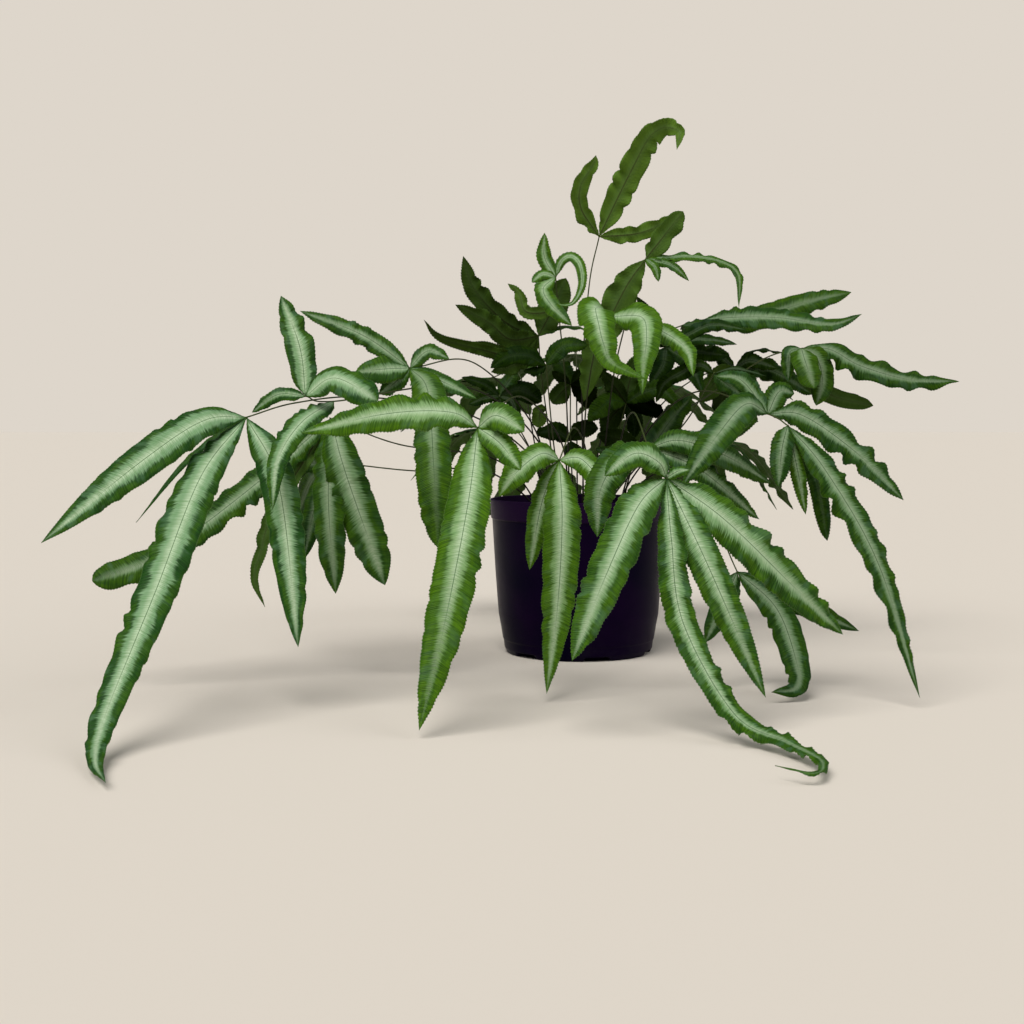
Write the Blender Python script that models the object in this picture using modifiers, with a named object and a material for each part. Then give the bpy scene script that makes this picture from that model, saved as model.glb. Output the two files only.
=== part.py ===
"""Silver ribbon fern in a round nursery pot.

The model stands on the plane z = 0, with the pot's axis on the Z axis and the side that the fern
shows to the viewer towards -Y. Lengths in the frond table are centimetres, everywhere else metres.
"""

import math

import bmesh
import bpy
import numpy as np

CM = 0.01

# Driving dimensions of the pot and its soil
POT_HEIGHT = 0.113
RIM_RADIUS = 0.065
RIM_BAND = 0.014
RIM_STEP = 0.0015
WALL = 0.0018
FOOT_RADIUS = 0.0525
FLOOR_THICKNESS = 0.005
SOIL_TOP = 0.100
SOIL_DOME = 0.003
GAP = 0.0003
TURN_STEPS = 36

# Outer side of the pot below the rim band: height and radius
WALL_PROFILE = [(0.060, 0.0612), (0.029, 0.0589), (0.019, 0.0571), (0.0105, 0.0557), (0.0095, 0.0551),
                (0.004, 0.0545)]
DRAIN_HOLES = 6
DRAIN_RADIUS = 0.004
DRAIN_CIRCLE = 0.036
FOOT_NOTCHES = 6
NOTCH_WIDTH = 0.019
NOTCH_HEIGHT = 0.003
NOTCH_DEPTH = 0.007
NOTCH_AZIMUTH = math.radians(-77.5)

# Stalks and blades
STALK_RADIUS = 0.00115
HOLE_RADIUS = 0.00175
ROOT_DEPTH = 0.020
STALK_OVERRUN = 0.15
BLADE_THICKNESS = 0.0012
BASE_THICKNESS = 0.0007
BASE_WIDTH = 0.0010
EDGE_SAG = 0.12
EDGE_WAVE = 0.05

# Which way a leaflet's upper side looks
FRONT = (0, -1, 0.45)
UP = (0, -0.35, 1)
BACK = (0.1, 1, 0.3)


def leaf(points, width, face=FRONT, node=0, tipface=None, taper=4.5):
    """A leaflet: the points its midrib passes through after it leaves the stalk, its full width, the
    way its upper side looks at the base and at the tip, the stalk point it springs from, counted
    back from the stalk's end, and how late it narrows (a high number keeps it broad for longer)."""
    return {"points": points, "width": width, "face": face, "node": node,
            "tipface": tipface or face, "taper": taper}


# Each frond that the front shows, in centimetres: where its stalk leaves the soil, the points the
# stalk passes through up to its end, and its leaflets.
FRONDS = [
    # Low at the far left; one leaflet runs down to the floor and along it
    (
        [(-2.6, -1.6), (-3.6, -3.0, 14.5), (-8.2, -7.8, 17.6), (-14.5, -12.5, 18.6),
         (-18.6, -15.8, 18.2), (-21.0, -20.0, 17.3)],
        [
            leaf([(-23.2, -22.0, 17.1), (-26.2, -25.0, 14.8), (-30.9, -29.0, 10.4)], 2.5, taper=3.2),
            leaf([(-23.0, -24.0, 13.9), (-24.4, -30.0, 7.8), (-25.8, -35.5, 2.1),
                  (-25.3, -39.5, 0.6), (-23.7, -43.8, 0.5)], 2.7, tipface=(0, -0.6, 1), taper=2.2),
            leaf([(-18.8, -21.8, 13.2), (-17.4, -24.3, 3.9)], 2.2),
            leaf([(-24.6, -19.4, 14.8), (-27.8, -20.0, 10.9)], 0.6),
        ],
    ),
    # Left, above the first, with one leaflet standing up
    (
        [(-1.9, -2.4), (-3.0, -5.0, 15.5), (-8.0, -10.0, 19.3), (-16.2, -15.5, 18.3),
         (-17.7, -17.8, 18.6)],
        [
            leaf([(-18.1, -17.2, 21.6), (-19.4, -16.2, 24.9)], 1.8),
            leaf([(-15.8, -18.4, 19.7), (-13.1, -19.0, 18.3)], 2.0, (0, -0.8, 0.8)),
            leaf([(-19.5, -17.2, 18.7), (-21.2, -16.8, 17.6)], 0.95),
            leaf([(-17.6, -20.4, 17.0), (-18.7, -22.8, 14.8), (-18.9, -23.8, 11.9)], 1.6, node=1),
        ],
    ),
    # Left of centre, in front, one leaflet level to the left and one down to the floor
    (
        [(-0.9, -3.0), (-1.5, -8.0, 15.5), (-4.3, -15.0, 18.6), (-6.9, -23.0, 16.7)],
        [
            leaf([(-8.5, -24.0, 17.6), (-12.2, -24.2, 17.5), (-17.2, -23.4, 16.4)], 2.4, (0, -1, 0.7),
                 taper=3.6),
            leaf([(-7.4, -26.4, 12.4), (-8.6, -30.0, 6.0), (-9.9, -31.8, 0.5)], 2.6),
            leaf([(-5.8, -24.0, 17.4), (-4.2, -25.2, 16.5)], 1.8),
            leaf([(-5.6, -24.4, 15.8), (-4.4, -25.5, 14.3)], 1.5),
        ],
    ),
    # Left, behind the third
    (
        [(-2.0, -0.4), (-3.3, -2.0, 16.5), (-7.5, -7.0, 21.0), (-11.6, -12.0, 20.5)],
        [
            leaf([(-14.6, -12.4, 22.6), (-18.7, -12.4, 24.2)], 1.4),
            leaf([(-10.4, -12.3, 21.6), (-9.0, -12.6, 21.1)], 1.2, UP),
            leaf([(-10.3, -14.6, 19.0), (-9.8, -17.4, 14.4), (-9.5, -18.2, 9.2)], 2.3),
            leaf([(-13.4, -12.8, 20.4), (-15.1, -12.8, 20.4)], 1.5),
            leaf([(-12.6, -12.4, 19.5), (-13.6, -12.5, 18.8)], 1.2),
            leaf([(-9.0, -13.6, 19.4), (-7.2, -14.0, 18.5)], 1.2),
        ],
    ),
    # Front centre, hanging over the rim
    (
        [(0.5, -3.0), (0.3, -6.5, 14.6), (-0.8, -11.5, 16.6), (-1.9, -16.0, 14.6)],
        [
            leaf([(-3.1, -17.0, 15.0), (-4.7, -18.0, 13.8), (-5.7, -18.0, 12.4)], 1.9),
            leaf([(-0.6, -17.0, 14.7), (0.5, -18.0, 13.4), (0.9, -18.5, 12.0)], 1.6),
            leaf([(-1.8, -18.5, 11.0), (-2.1, -20.2, 6.0), (-2.8, -21.2, 0.6)], 2.4, taper=3.4),
            leaf([(-3.0, -16.8, 12.0), (-3.8, -17.0, 7.7)], 1.5),
        ],
    ),
    # Front right, the largest, with a leaflet that trails round on the floor
    (
        [(1.2, -3.1), (1.5, -8.0, 13.2), (2.2, -15.0, 14.0), (2.9, -21.0, 14.3), (3.8, -27.0, 13.9)],
        [
            leaf([(3.3, -27.6, 14.8), (1.9, -28.2, 15.3), (0.2, -29.0, 14.1)], 1.7),
            leaf([(2.1, -29.0, 12.5), (0.2, -31.2, 8.9), (-1.7, -32.5, 4.4)], 2.3, taper=5.5),
            leaf([(3.9, -29.0, 10.6), (4.4, -30.5, 6.2), (6.9, -32.8, 1.6), (9.2, -35.8, 0.7),
                  (10.2, -39.6, 0.6), (9.4, -42.4, 0.6),
                  (7.7, -41.2, 0.7)], 1.95, tipface=(0, -0.6, 1), taper=1.8),
            leaf([(5.9, -29.0, 9.2), (9.0, -30.2, 2.0)], 2.1, taper=3.6),
            leaf([(7.0, -27.6, 11.6), (11.0, -26.6, 7.8), (14.2, -25.4, 4.8)], 2.5),
            leaf([(4.4, -27.6, 14.3), (5.0, -28.0, 14.4)], 0.7),
        ],
    ),
    # Front right, between the sixth and the eighth
    (
        [(2.2, -2.0), (2.7, -6.0, 15.8), (3.0, -13.0, 17.6), (3.4, -20.0, 15.4)],
        [
            leaf([(1.6, -21.8, 14.9), (0.3, -23.0, 13.0), (0.1, -23.6, 10.3)], 2.1),
            leaf([(5.2, -20.4, 15.9), (8.0, -19.9, 15.0), (11.2, -17.8, 13.2)], 1.7),
            leaf([(6.4, -20.2, 14.2), (10.4, -18.4, 11.0)], 1.5),
        ],
    ),
    # Right, with two pairs of leaflets below its end
    (
        [(3.1, -1.2), (4.5, -4.5, 16.0), (7.5, -10.5, 19.0), (11.1, -17.0, 17.5), (12.0, -19.0, 16.8)],
        [
            leaf([(9.5, -18.6, 18.1), (7.4, -22.2, 16.4), (5.0, -24.4, 13.4)], 2.2, node=1),
            leaf([(9.5, -16.5, 19.6), (7.9, -16.0, 19.9)], 1.3, node=1),
            leaf([(13.1, -18.0, 17.4), (16.2, -19.3, 15.1), (18.8, -20.5, 12.3)], 1.9, node=1),
            leaf([(11.9, -16.4, 18.9), (12.9, -16.1, 18.8)], 1.5, node=1),
            leaf([(14.1, -20.2, 14.1), (17.0, -21.8, 8.6), (19.3, -23.1, 0.7)], 1.9, taper=2.4),
            leaf([(11.5, -20.0, 15.4), (11.2, -20.6, 13.1)], 1.4),
            leaf([(12.5, -19.6, 14.2), (13.0, -19.9, 11.4)], 1.0),
            leaf([(13.9, -17.8, 13.8), (14.8, -17.6, 9.6)], 1.1),
        ],
    ),
    # Right of centre, half hidden
    (
        [(2.9, 0.5), (4.6, -0.6, 13.8), (7.4, -3.0, 16.8), (9.1, -6.0, 20.3)],
        [
            leaf([(10.5, -6.6, 20.6), (12.6, -7.0, 20.1)], 1.2, UP),
            leaf([(8.1, -5.7, 20.9), (6.8, -5.6, 20.3), (5.7, -5.8, 19.6),
                  (5.1, -6.0, 18.3)], 1.1),
            leaf([(9.9, -6.4, 19.6), (11.1, -6.8, 18.7)], 1.3),
            leaf([(3.1, -0.8, 15.5), (1.3, -1.0, 16.0)], 1.8, BACK, node=2),
            leaf([(2.8, -2.0, 14.5), (1.1, -2.6, 15.0)], 1.4, node=2),
            leaf([(6.5, -0.6, 16.8), (8.2, -0.8, 18.8)], 2.0, node=2),
            leaf([(7.9, -1.0, 15.2), (10.3, -1.6, 16.5)], 1.8, node=2),
        ],
    ),
    # Right, with a long twisted leaflet
    (
        [(2.2, 2.0), (4.8, 2.0, 15.6), (9.5, 1.0, 18.8), (13.4, -0.8, 21.5), (15.9, -2.0, 22.2)],
        [
            leaf([(14.9, -2.8, 21.8), (14.8, -3.0, 19.8)], 1.1),
            leaf([(15.8, -3.9, 21.3), (16.4, -4.4, 19.3)], 1.5),
            leaf([(16.8, -3.0, 21.5), (17.2, -3.2, 19.8), (16.7, -3.6, 18.1)], 1.6),
            leaf([(17.8, -2.6, 22.1), (20.0, -3.0, 20.9), (23.4, -3.6, 19.9), (26.7, -4.0, 19.8)], 1.6,
                 (0, -0.8, 0.6)),
            leaf([(16.7, -1.4, 20.0), (18.4, -1.2, 18.8), (21.3, -1.2, 18.1)], 1.3, BACK, taper=9),
        ],
    ),
    # Upper right, behind, two long level leaflets
    (
        [(1.4, 2.9), (3.0, 4.0, 18.0), (6.0, 5.6, 23.0), (8.2, 6.0, 24.3), (9.8, 6.0, 24.7)],
        [
            leaf([(12.6, 5.6, 24.9), (15.7, 5.2, 24.8), (18.6, 4.5, 24.3), (20.0, 4.0, 24.4),
                  (21.4, 3.5, 25.0)], 2.1, (0, -0.9, 0.6), taper=3.6),
            leaf([(13.4, 8.2, 24.8), (18.0, 8.6, 26.2), (21.6, 8.2, 27.0)], 2.1, (0, -0.9, 0.6), taper=8),
            leaf([(9.5, 4.6, 24.3), (11.1, 4.0, 23.9)], 1.1, node=1),
            leaf([(9.0, 7.2, 23.7), (9.9, 8.6, 23.3)], 1.2, UP, node=1),
        ],
    ),
    # The tallest, seen from below its leaflets
    (
        [(0.4, 0.8), (0.3, 1.2, 20.0), (0.8, 1.4, 27.0), (1.5, 1.0, 30.5)],
        [
            leaf([(2.8, 0.2, 33.2), (3.85, -0.7, 35.3), (4.9, -1.9, 37.2), (5.9, -3.0, 37.7),
                  (6.8, -4.0, 37.2), (6.6, -4.5, 35.9)], 1.9, BACK, taper=4.0),
            leaf([(0.15, 0.2, 32.4), (0.05, -0.8, 33.9), (0.9, -1.6, 35.3), (1.1, -1.8, 35.95)],
                 1.2, BACK, taper=7),
            leaf([(4.5, 0.2, 30.7), (7.4, 0.0, 32.0)], 1.2, BACK),
        ],
    ),
    # Top, behind the fifteenth, with a thin arched leaflet
    (
        [(1.5, -1.0), (2.4, -1.6, 20.0), (3.8, -2.6, 26.0), (4.6, -3.0, 28.5)],
        [
            leaf([(3.1, -2.8, 26.3), (1.2, -1.9, 22.1), (0.3, -1.2, 18.4)], 2.3, BACK),
            leaf([(5.8, -3.0, 30.0), (7.2, -3.2, 31.8)], 1.5, BACK, taper=7),
            leaf([(8.4, -3.0, 28.6), (11.0, -3.2, 27.6), (11.1, -4.0, 25.0)], 0.9, UP, taper=3.0),
            leaf([(5.2, -3.8, 27.8), (5.4, -4.2, 26.8)], 0.7),
            leaf([(6.4, -3.4, 28.0), (7.6, -3.6, 26.9)], 0.7),
        ],
    ),
    # Top centre, young and still curled
    (
        [(-0.7, -1.0), (-1.0, -1.8, 19.0), (-1.6, -2.6, 25.0), (-1.8, -3.0, 27.2)],
        [
            leaf([(-2.6, -3.0, 28.6), (-2.6, -3.2, 30.3)], 1.2, taper=3),
            leaf([(-2.7, -3.3, 27.4), (-3.5, -3.5, 26.8)], 0.9),
            leaf([(-2.7, -3.8, 26.3), (-2.1, -4.2, 25.1), (-0.7, -4.5, 23.7)], 1.35),
            leaf([(-1.4, -3.2, 28.3), (-0.7, -3.6, 28.6), (-0.1, -4.1, 27.9), (0.0, -4.6, 26.5),
                  (-0.6, -5.0, 25.3), (-1.5, -5.2, 25.1), (-1.9, -5.2, 25.6)], 1.0, taper=1.6),
            leaf([(-2.9, -2.4, 24.7), (-4.0, -2.4, 24.9), (-4.4, -2.4, 26.1), (-5.2, -2.4, 26.8)],
                 0.95, BACK, node=1),
        ],
    ),
    # Top centre, broad leaflets that hang towards the front
    (
        [(0.2, -1.9), (0.4, -2.6, 18.0), (1.2, -3.6, 23.0), (1.9, -4.4, 24.3)],
        [
            leaf([(0.9, -6.4, 24.8), (1.0, -7.9, 23.6), (1.3, -8.7, 22.2), (1.9, -9.3, 20.9),
                  (4.1, -10.0, 19.8)], 3.0, taper=2.6),
            leaf([(4.0, -6.2, 24.2), (4.3, -7.5, 22.8), (4.0, -8.5, 20.6), (3.9, -9.0, 18.8)], 2.5, taper=3.2),
            leaf([(4.8, -5.0, 23.6), (7.1, -6.0, 22.1), (7.6, -6.8, 20.1)], 1.6),
        ],
    ),
    # Left of centre, its undersides show
    (
        [(-1.5, 0.6), (-2.4, 0.4, 17.8), (-2.8, -0.8, 20.5), (-3.0, -2.0, 23.1)],
        [
            leaf([(-4.9, -1.8, 23.8), (-6.5, -1.8, 25.1), (-7.8, -1.8, 26.8),
                  (-8.4, -1.8, 28.8)], 1.7, BACK),
            leaf([(-5.0, -3.2, 22.8), (-6.6, -3.6, 24.0), (-8.9, -3.8, 25.2)], 1.5, BACK),
            leaf([(-1.2, -1.2, 23.8), (0.7, -0.8, 23.6)], 0.9, UP),
            leaf([(-5.2, -2.6, 21.9), (-7.9, -2.8, 22.6)], 1.3, BACK),
            leaf([(-4.4, -2.2, 21.2), (-6.4, -2.3, 20.5)], 1.3, BACK),
            leaf([(-2.2, -1.6, 24.6), (-1.6, -1.2, 25.9), (-1.0, -1.0, 27.3)], 2.1, BACK),
            leaf([(-2.8, 0.2, 17.7), (-3.0, 0.2, 16.5)], 1.2, BACK, node=2),
        ],
    ),
    # Low at the right, over the rim and down to the floor
    (
        [(2.8, -3.0), (5.4, -5.6, 13.4), (8.0, -9.6, 11.6), (9.7, -14.0, 7.3)],
        [
            leaf([(11.9, -16.0, 5.2), (12.7, -18.6, 2.4), (12.5, -20.5, 0.9), (10.8, -21.3, 0.7)], 1.9),
            leaf([(12.9, -15.0, 5.6), (17.2, -16.0, 3.7)], 1.5),
            leaf([(8.6, -15.2, 5.2), (7.4, -16.2, 3.0)], 1.5),
        ],
    ),
    # Low at the left, behind the first
    (
        [(-3.0, 0.2), (-6.0, -2.6, 14.2), (-12.6, -7.4, 15.4), (-17.0, -10.2, 17.2)],
        [
            leaf([(-22.0, -12.2, 12.7), (-27.6, -15.0, 8.4), (-31.6, -16.0, 6.9)], 2.0, taper=9),
            leaf([(-20.6, -11.6, 11.2), (-21.5, -12.0, 8.4), (-21.9, -12.2, 6.6), (-21.2, -12.4, 4.8)],
                 1.0, BACK),
            leaf([(-17.0, -12.0, 11.6), (-16.5, -12.6, 5.7)], 2.1, taper=6),
            leaf([(-15.9, -11.6, 13.6), (-13.3, -12.0, 6.2)], 2.6, taper=7),
        ],
    ),
    # Low at the left, further back
    (
        [(-3.2, 1.3), (-7.0, 0.2, 13.4), (-11.8, -2.2, 13.4), (-17.6, -4.0, 14.1)],
        [
            leaf([(-21.0, -3.0, 13.6), (-24.4, -3.0, 11.0)], 1.7),
            leaf([(-18.6, -5.6, 11.4), (-19.4, -6.2, 7.4)], 1.6),
            leaf([(-19.6, -0.6, 12.6), (-21.2, 2.6, 9.4)], 1.8),
        ],
    ),
    # Centre left, short leaflets
    (
        [(-1.3, -1.7), (-2.0, -3.2, 16.0), (-2.5, -4.6, 20.9)],
        [
            leaf([(-3.8, -5.0, 21.6), (-5.2, -5.2, 21.5), (-6.4, -5.4, 20.7)], 1.5),
            leaf([(-7.1, -5.2, 22.0), (-9.9, -5.6, 22.8),
                  (-11.0, -6.0, 24.0)], 0.9, BACK),
            leaf([(-1.9, -4.8, 21.7), (-1.1, -5.0, 22.3), (0.4, -5.2, 22.3)], 1.4),
            leaf([(-3.2, -4.8, 20.5), (-4.1, -5.0, 20.5)], 0.7),
        ],
    ),
    # Centre, small and dark
    (
        [(1.6, 1.6), (2.6, 1.8, 14.5), (3.6, 2.0, 18.3)],
        [
            leaf([(2.5, 1.4, 18.5), (1.7, 1.0, 18.0), (0.7, 0.6, 17.0)], 1.6),
            leaf([(4.8, 1.4, 18.2), (6.4, 1.0, 17.4)], 1.5),
            leaf([(4.8, 1.4, 19.1), (6.1, 0.9, 19.3), (7.3, 0.4, 18.2)], 1.5),
            leaf([(2.8, 1.6, 19.4), (1.8, 1.4, 20.6)], 1.3, BACK),
            leaf([(4.2, 2.4, 17.4), (4.3, 2.6, 15.7)], 1.3),
            leaf([(2.6, 2.6, 17.3), (2.0, 2.8, 15.8)], 1.6, BACK),
            leaf([(3.9, 2.2, 20.0), (4.7, 2.0, 22.1)], 1.6, BACK),
        ],
    ),
    # Centre, behind
    (
        [(-0.3, 2.1), (-0.5, 2.8, 15.5), (-0.5, 3.2, 19.7)],
        [
            leaf([(-1.1, 3.0, 19.2), (-1.9, 2.8, 18.3)], 1.5, BACK),
            leaf([(0.5, 3.0, 19.2), (1.3, 2.6, 18.0)], 1.7, BACK),
            leaf([(-1.1, 5.0, 21.2), (-1.2, 7.6, 21.6)], 1.4, UP),
            leaf([(0.5, 5.4, 20.7), (1.4, 8.0, 19.5)], 1.7, UP),
            leaf([(-1.1, 3.0, 20.1), (-1.9, 2.9, 20.7)], 0.8, BACK),
            leaf([(1.0, 3.2, 20.7), (2.6, 3.0, 21.4)], 1.5, BACK),
            leaf([(-1.6, 2.6, 16.2), (-3.1, 2.4, 16.1)], 1.5, node=1),
            leaf([(0.4, 3.0, 16.4), (1.6, 3.0, 16.4)], 1.4, BACK, node=1),
            leaf([(-0.3, 2.2, 14.7), (0.8, 1.8, 13.9)], 1.4, node=1),
        ],
    ),
    # Centre left, behind, small
    (
        [(-1.8, 1.6), (-3.6, 1.4, 15.0), (-5.8, 1.0, 18.8)],
        [
            leaf([(-7.0, 0.8, 19.7), (-8.6, 0.6, 20.2)], 0.9),
            leaf([(-5.3, 1.0, 19.7), (-4.5, 1.0, 20.7)], 1.2),
            leaf([(-4.3, 0.6, 19.3), (-2.7, 0.4, 18.4)], 1.8),
            leaf([(-6.8, 0.6, 18.7), (-8.1, 0.4, 18.2)], 0.9),
            leaf([(-4.9, 0.2, 18.4), (-4.4, 0.0, 16.9)], 0.9),
            leaf([(-6.0, 1.0, 17.8), (-6.8, 1.0, 16.5)], 1.2),
        ],
    ),
    # Upper right of centre, behind
    (
        [(0.9, 1.9), (2.2, 3.2, 17.0), (4.6, 4.4, 21.2), (6.8, 4.6, 22.6)],
        [
            leaf([(5.7, 4.9, 24.6), (4.6, 4.7, 26.4)], 1.1, BACK),
            leaf([(8.6, 3.6, 23.1), (10.4, 3.0, 23.0), (11.9, 2.6, 22.7)], 1.0),
            leaf([(8.6, 3.6, 23.6), (10.2, 3.4, 24.2), (12.7, 3.0, 23.8)], 1.1),
            leaf([(9.0, 4.2, 22.2), (11.5, 3.6, 21.9)], 1.5),
            leaf([(8.4, 3.2, 21.4), (9.3, 2.2, 19.1)], 1.5),
            leaf([(6.4, 3.0, 21.1), (5.4, 2.2, 19.7)], 1.5),
            leaf([(5.8, 4.2, 23.4), (4.5, 3.8, 23.0)], 1.4, BACK),
        ],
    ),
    # Right, behind, leaflets to both sides
    (
        [(3.1, 1.6), (5.6, 4.6, 17.0), (9.2, 6.6, 20.2), (12.4, 7.2, 21.0)],
        [
            leaf([(15.2, 7.0, 20.9), (18.4, 6.6, 19.0)], 1.7),
            leaf([(13.5, 6.4, 21.6), (15.5, 5.8, 21.0)], 1.2),
            leaf([(13.9, 7.6, 22.4), (16.3, 8.0, 22.3)], 0.7, UP),
            leaf([(10.9, 6.6, 22.2), (9.6, 6.0, 22.3)], 1.3),
            leaf([(11.1, 6.4, 20.3), (9.6, 6.0, 18.4)], 1.8, BACK),
            leaf([(12.8, 4.2, 20.0), (12.4, 1.2, 17.2), (10.4, -0.8, 15.6)], 2.0),
            leaf([(15.0, 9.6, 20.8), (17.8, 11.8, 18.6)], 1.8, UP),
            leaf([(12.0, 9.6, 19.9), (11.6, 11.6, 17.2)], 1.8, (0, 0.6, 1)),
        ],
    ),
]

# Fronds of the far side: azimuth in degrees from +X, reach and height of the stalk's end in
# centimetres, and number of leaflets.
FAR_FRONDS = [
    (52, 18.5, 15.6, 4), (64, 11.0, 20.2, 4), (74, 20.5, 17.2, 5), (89, 13.5, 22.4, 4),
    (97, 18.0, 13.4, 4), (112, 19.5, 16.4, 4), (124, 11.5, 20.4, 4),
]
FAR_ROOT_CIRCLE = 4.1
FAR_SPREAD = math.radians(170)
FAR_SEED = 7


def far_frond(azimuth, reach, height, count, rng):
    """A frond that arches away from the pot, its leaflets fanned evenly around the stalk's end."""
    angle = math.radians(azimuth)
    away = np.array([math.cos(angle), math.sin(angle), 0])
    aside = np.array([-math.sin(angle), math.cos(angle), 0])
    up = np.array([0, 0, 1])
    end = away * reach + up * height
    soil_top = SOIL_TOP / CM
    stalk = [
        tuple(away[:2] * FAR_ROOT_CIRCLE),
        tuple(away * (FAR_ROOT_CIRCLE + 0.12 * reach) + up * (soil_top + 0.45 * (height - soil_top))),
        tuple(away * 0.68 * reach + up * (height + 0.2)),
        tuple(end),
    ]
    low = height < 18
    leaves = []
    for index in range(count):
        turn = (index - (count - 1) / 2) * FAR_SPREAD / count + math.radians(rng.uniform(-6, 6))
        way = away * math.cos(turn) + aside * math.sin(turn)
        length = rng.uniform(5.2, 6.2) + 6.0 * math.cos(turn / 2) ** 6
        drop = length * (rng.uniform(0.55, 0.75) if low else rng.uniform(0.30, 0.42))
        across = 0.93 * math.sqrt(length ** 2 - drop ** 2)
        middle = end + way * across * 0.5 - up * drop * 0.22
        tip = end + way * across - up * drop
        leaves.append(leaf([tuple(middle), tuple(tip)], rng.uniform(1.8, 2.3), tuple(way * 0.5 + up)))
    return stalk, leaves


def catmull_rom(points, steps):
    """Points along a smooth curve through the given points, with this many steps in each span."""
    given = np.array(points, float)
    ends = np.vstack([2 * given[0] - given[1], given, 2 * given[-1] - given[-2]])
    u = np.linspace(0, 1, steps + 1)[:-1, None]
    rows = [
        0.5 * (2 * b + (c - a) * u + (2 * a - 5 * b + 4 * c - d) * u ** 2
               + (3 * b - a - 3 * c + d) * u ** 3)
        for a, b, c, d in zip(ends[:-3], ends[1:-2], ends[2:-1], ends[3:])
    ]
    return np.vstack(rows + [given[-1:]])


def evenly_spaced(path, count):
    """The same path as this many points, evenly spaced, and its length."""
    run = np.r_[0, np.cumsum(np.linalg.norm(np.diff(path, axis=0), axis=1))]
    at = np.linspace(0, run[-1], count)
    return np.stack([np.interp(at, run, path[:, axis]) for axis in range(3)], 1), run[-1]


def stalk_nodes(stalk):
    """The stalk's points with its straight root in the soil put before them, in centimetres."""
    x, y = stalk[0]
    soil_top = SOIL_TOP / CM
    return [(x, y, soil_top - ROOT_DEPTH / CM), (x, y, soil_top + 0.6)] + list(stalk[1:])


def stalk_line(stalk):
    """The stalk's polyline: its points, one more in the middle of each long span above the soil, and
    a short run past its end, which the leaflets grow from."""
    nodes = np.array(stalk_nodes(stalk), float)
    halves = catmull_rom(nodes, 2)
    line = []
    for index in range(len(nodes) - 1):
        line.append(nodes[index])
        if index > 0 and np.linalg.norm(nodes[index + 1] - nodes[index]) > 3.0:
            line.append(halves[2 * index + 1])
    last = nodes[-1] - line[-1]
    line.append(nodes[-1])
    line.append(nodes[-1] + last / np.linalg.norm(last) * STALK_OVERRUN)
    return np.array(line)


def midrib(start, leaflet, count):
    """The leaflet's midrib as evenly spaced points, and its length. A leaflet with only a tip is
    arched a little above the straight line to it."""
    points = [start] + leaflet["points"]
    if len(points) == 2:
        first, last = np.array(points[0], float), np.array(points[1], float)
        arch = 0.12 * np.linalg.norm(last - first)
        points = [first, (first + last) / 2 + np.array([0, 0, arch]), last]
    return evenly_spaced(catmull_rom(points, 24), count)


def blade_directions(path, leaflet):
    """The upper side's normal and the direction across the blade at each point of the midrib."""
    along = np.gradient(path, axis=0)
    along /= np.linalg.norm(along, axis=1)[:, None]
    share = np.linspace(0, 1, len(path))[:, None]
    base = np.array(leaflet["face"], float)
    tip = np.array(leaflet["tipface"], float)
    look = base / np.linalg.norm(base) * (1 - share) + tip / np.linalg.norm(tip) * share
    normal = look - (look * along).sum(1)[:, None] * along
    normal /= np.linalg.norm(normal, axis=1)[:, None]
    return normal, np.cross(normal, along)


def half_width(share, leaflet):
    """Half the blade's width at this share of its length: a quick rise and a late taper."""
    rise = 1 - np.exp(-(share / 0.09) ** 1.2)
    return rise * (1 - share ** leaflet["taper"]) * leaflet["width"] / 2


def sections(length):
    """Shares of the length at which the blade is cut across; a short blade has fewer."""
    if length > 7.4:
        return np.array([0, 0.08, 0.20, 0.34, 0.49, 0.64, 0.79, 0.91, 1.0])
    if length > 3.5:
        return np.array([0, 0.12, 0.28, 0.46, 0.64, 0.82, 1.0])
    return np.array([0, 0.2, 0.5, 0.78, 1.0])


def leaflet_mesh(name, start, leaflet, origin):
    """A blade as a closed loft: at each section an edge, the midrib's top, the other edge and the
    midrib's underside, with the edges raised and lowered in turn, and one point at the tip."""
    fine = 72
    path, length = midrib(start, leaflet, fine + 1)
    normal, across = blade_directions(path, leaflet)
    share = sections(length)
    at = np.round(share * fine).astype(int)
    path, normal, across = path[at] * CM, normal[at], across[at]
    half = half_width(share, leaflet) * CM
    half[0] = BASE_WIDTH / 2
    turns = np.where(np.arange(len(share)) % 2 == 0, 1.0, -1.0)
    lift = EDGE_WAVE * leaflet["width"] * CM * turns * (share > 0.1) * (share < 0.95) - EDGE_SAG * half
    thick = np.full(len(share), BLADE_THICKNESS / 2)
    thick[0] = BASE_THICKNESS / 2
    path = path - origin

    bm = bmesh.new()
    rings = []
    for point, up, side, wide, rise, deep in zip(path[:-1], normal, across, half, lift, thick):
        corners = (point - side * wide + up * rise, point + up * deep,
                   point + side * wide + up * rise, point - up * deep)
        rings.append([bm.verts.new(corner) for corner in corners])
    apex = bm.verts.new(path[-1])
    bm.faces.new(rings[0])
    for near, far in zip(rings[:-1], rings[1:]):
        for corner in range(4):
            follow = (corner + 1) % 4
            a, b, c, d = near[corner], near[follow], far[follow], far[corner]
            # Both faces of a half blade are split from its edge, so that they stay alike
            if corner % 2 == 0:
                bm.faces.new((a, d, c))
                bm.faces.new((a, c, b))
            else:
                bm.faces.new((a, d, b))
                bm.faces.new((d, c, b))
    for corner in range(4):
        bm.faces.new((rings[-1][corner], apex, rings[-1][(corner + 1) % 4]))
    bmesh.ops.recalc_face_normals(bm, faces=bm.faces)
    mesh = bpy.data.meshes.new(name)
    bm.to_mesh(mesh)
    bm.free()
    return mesh


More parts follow.
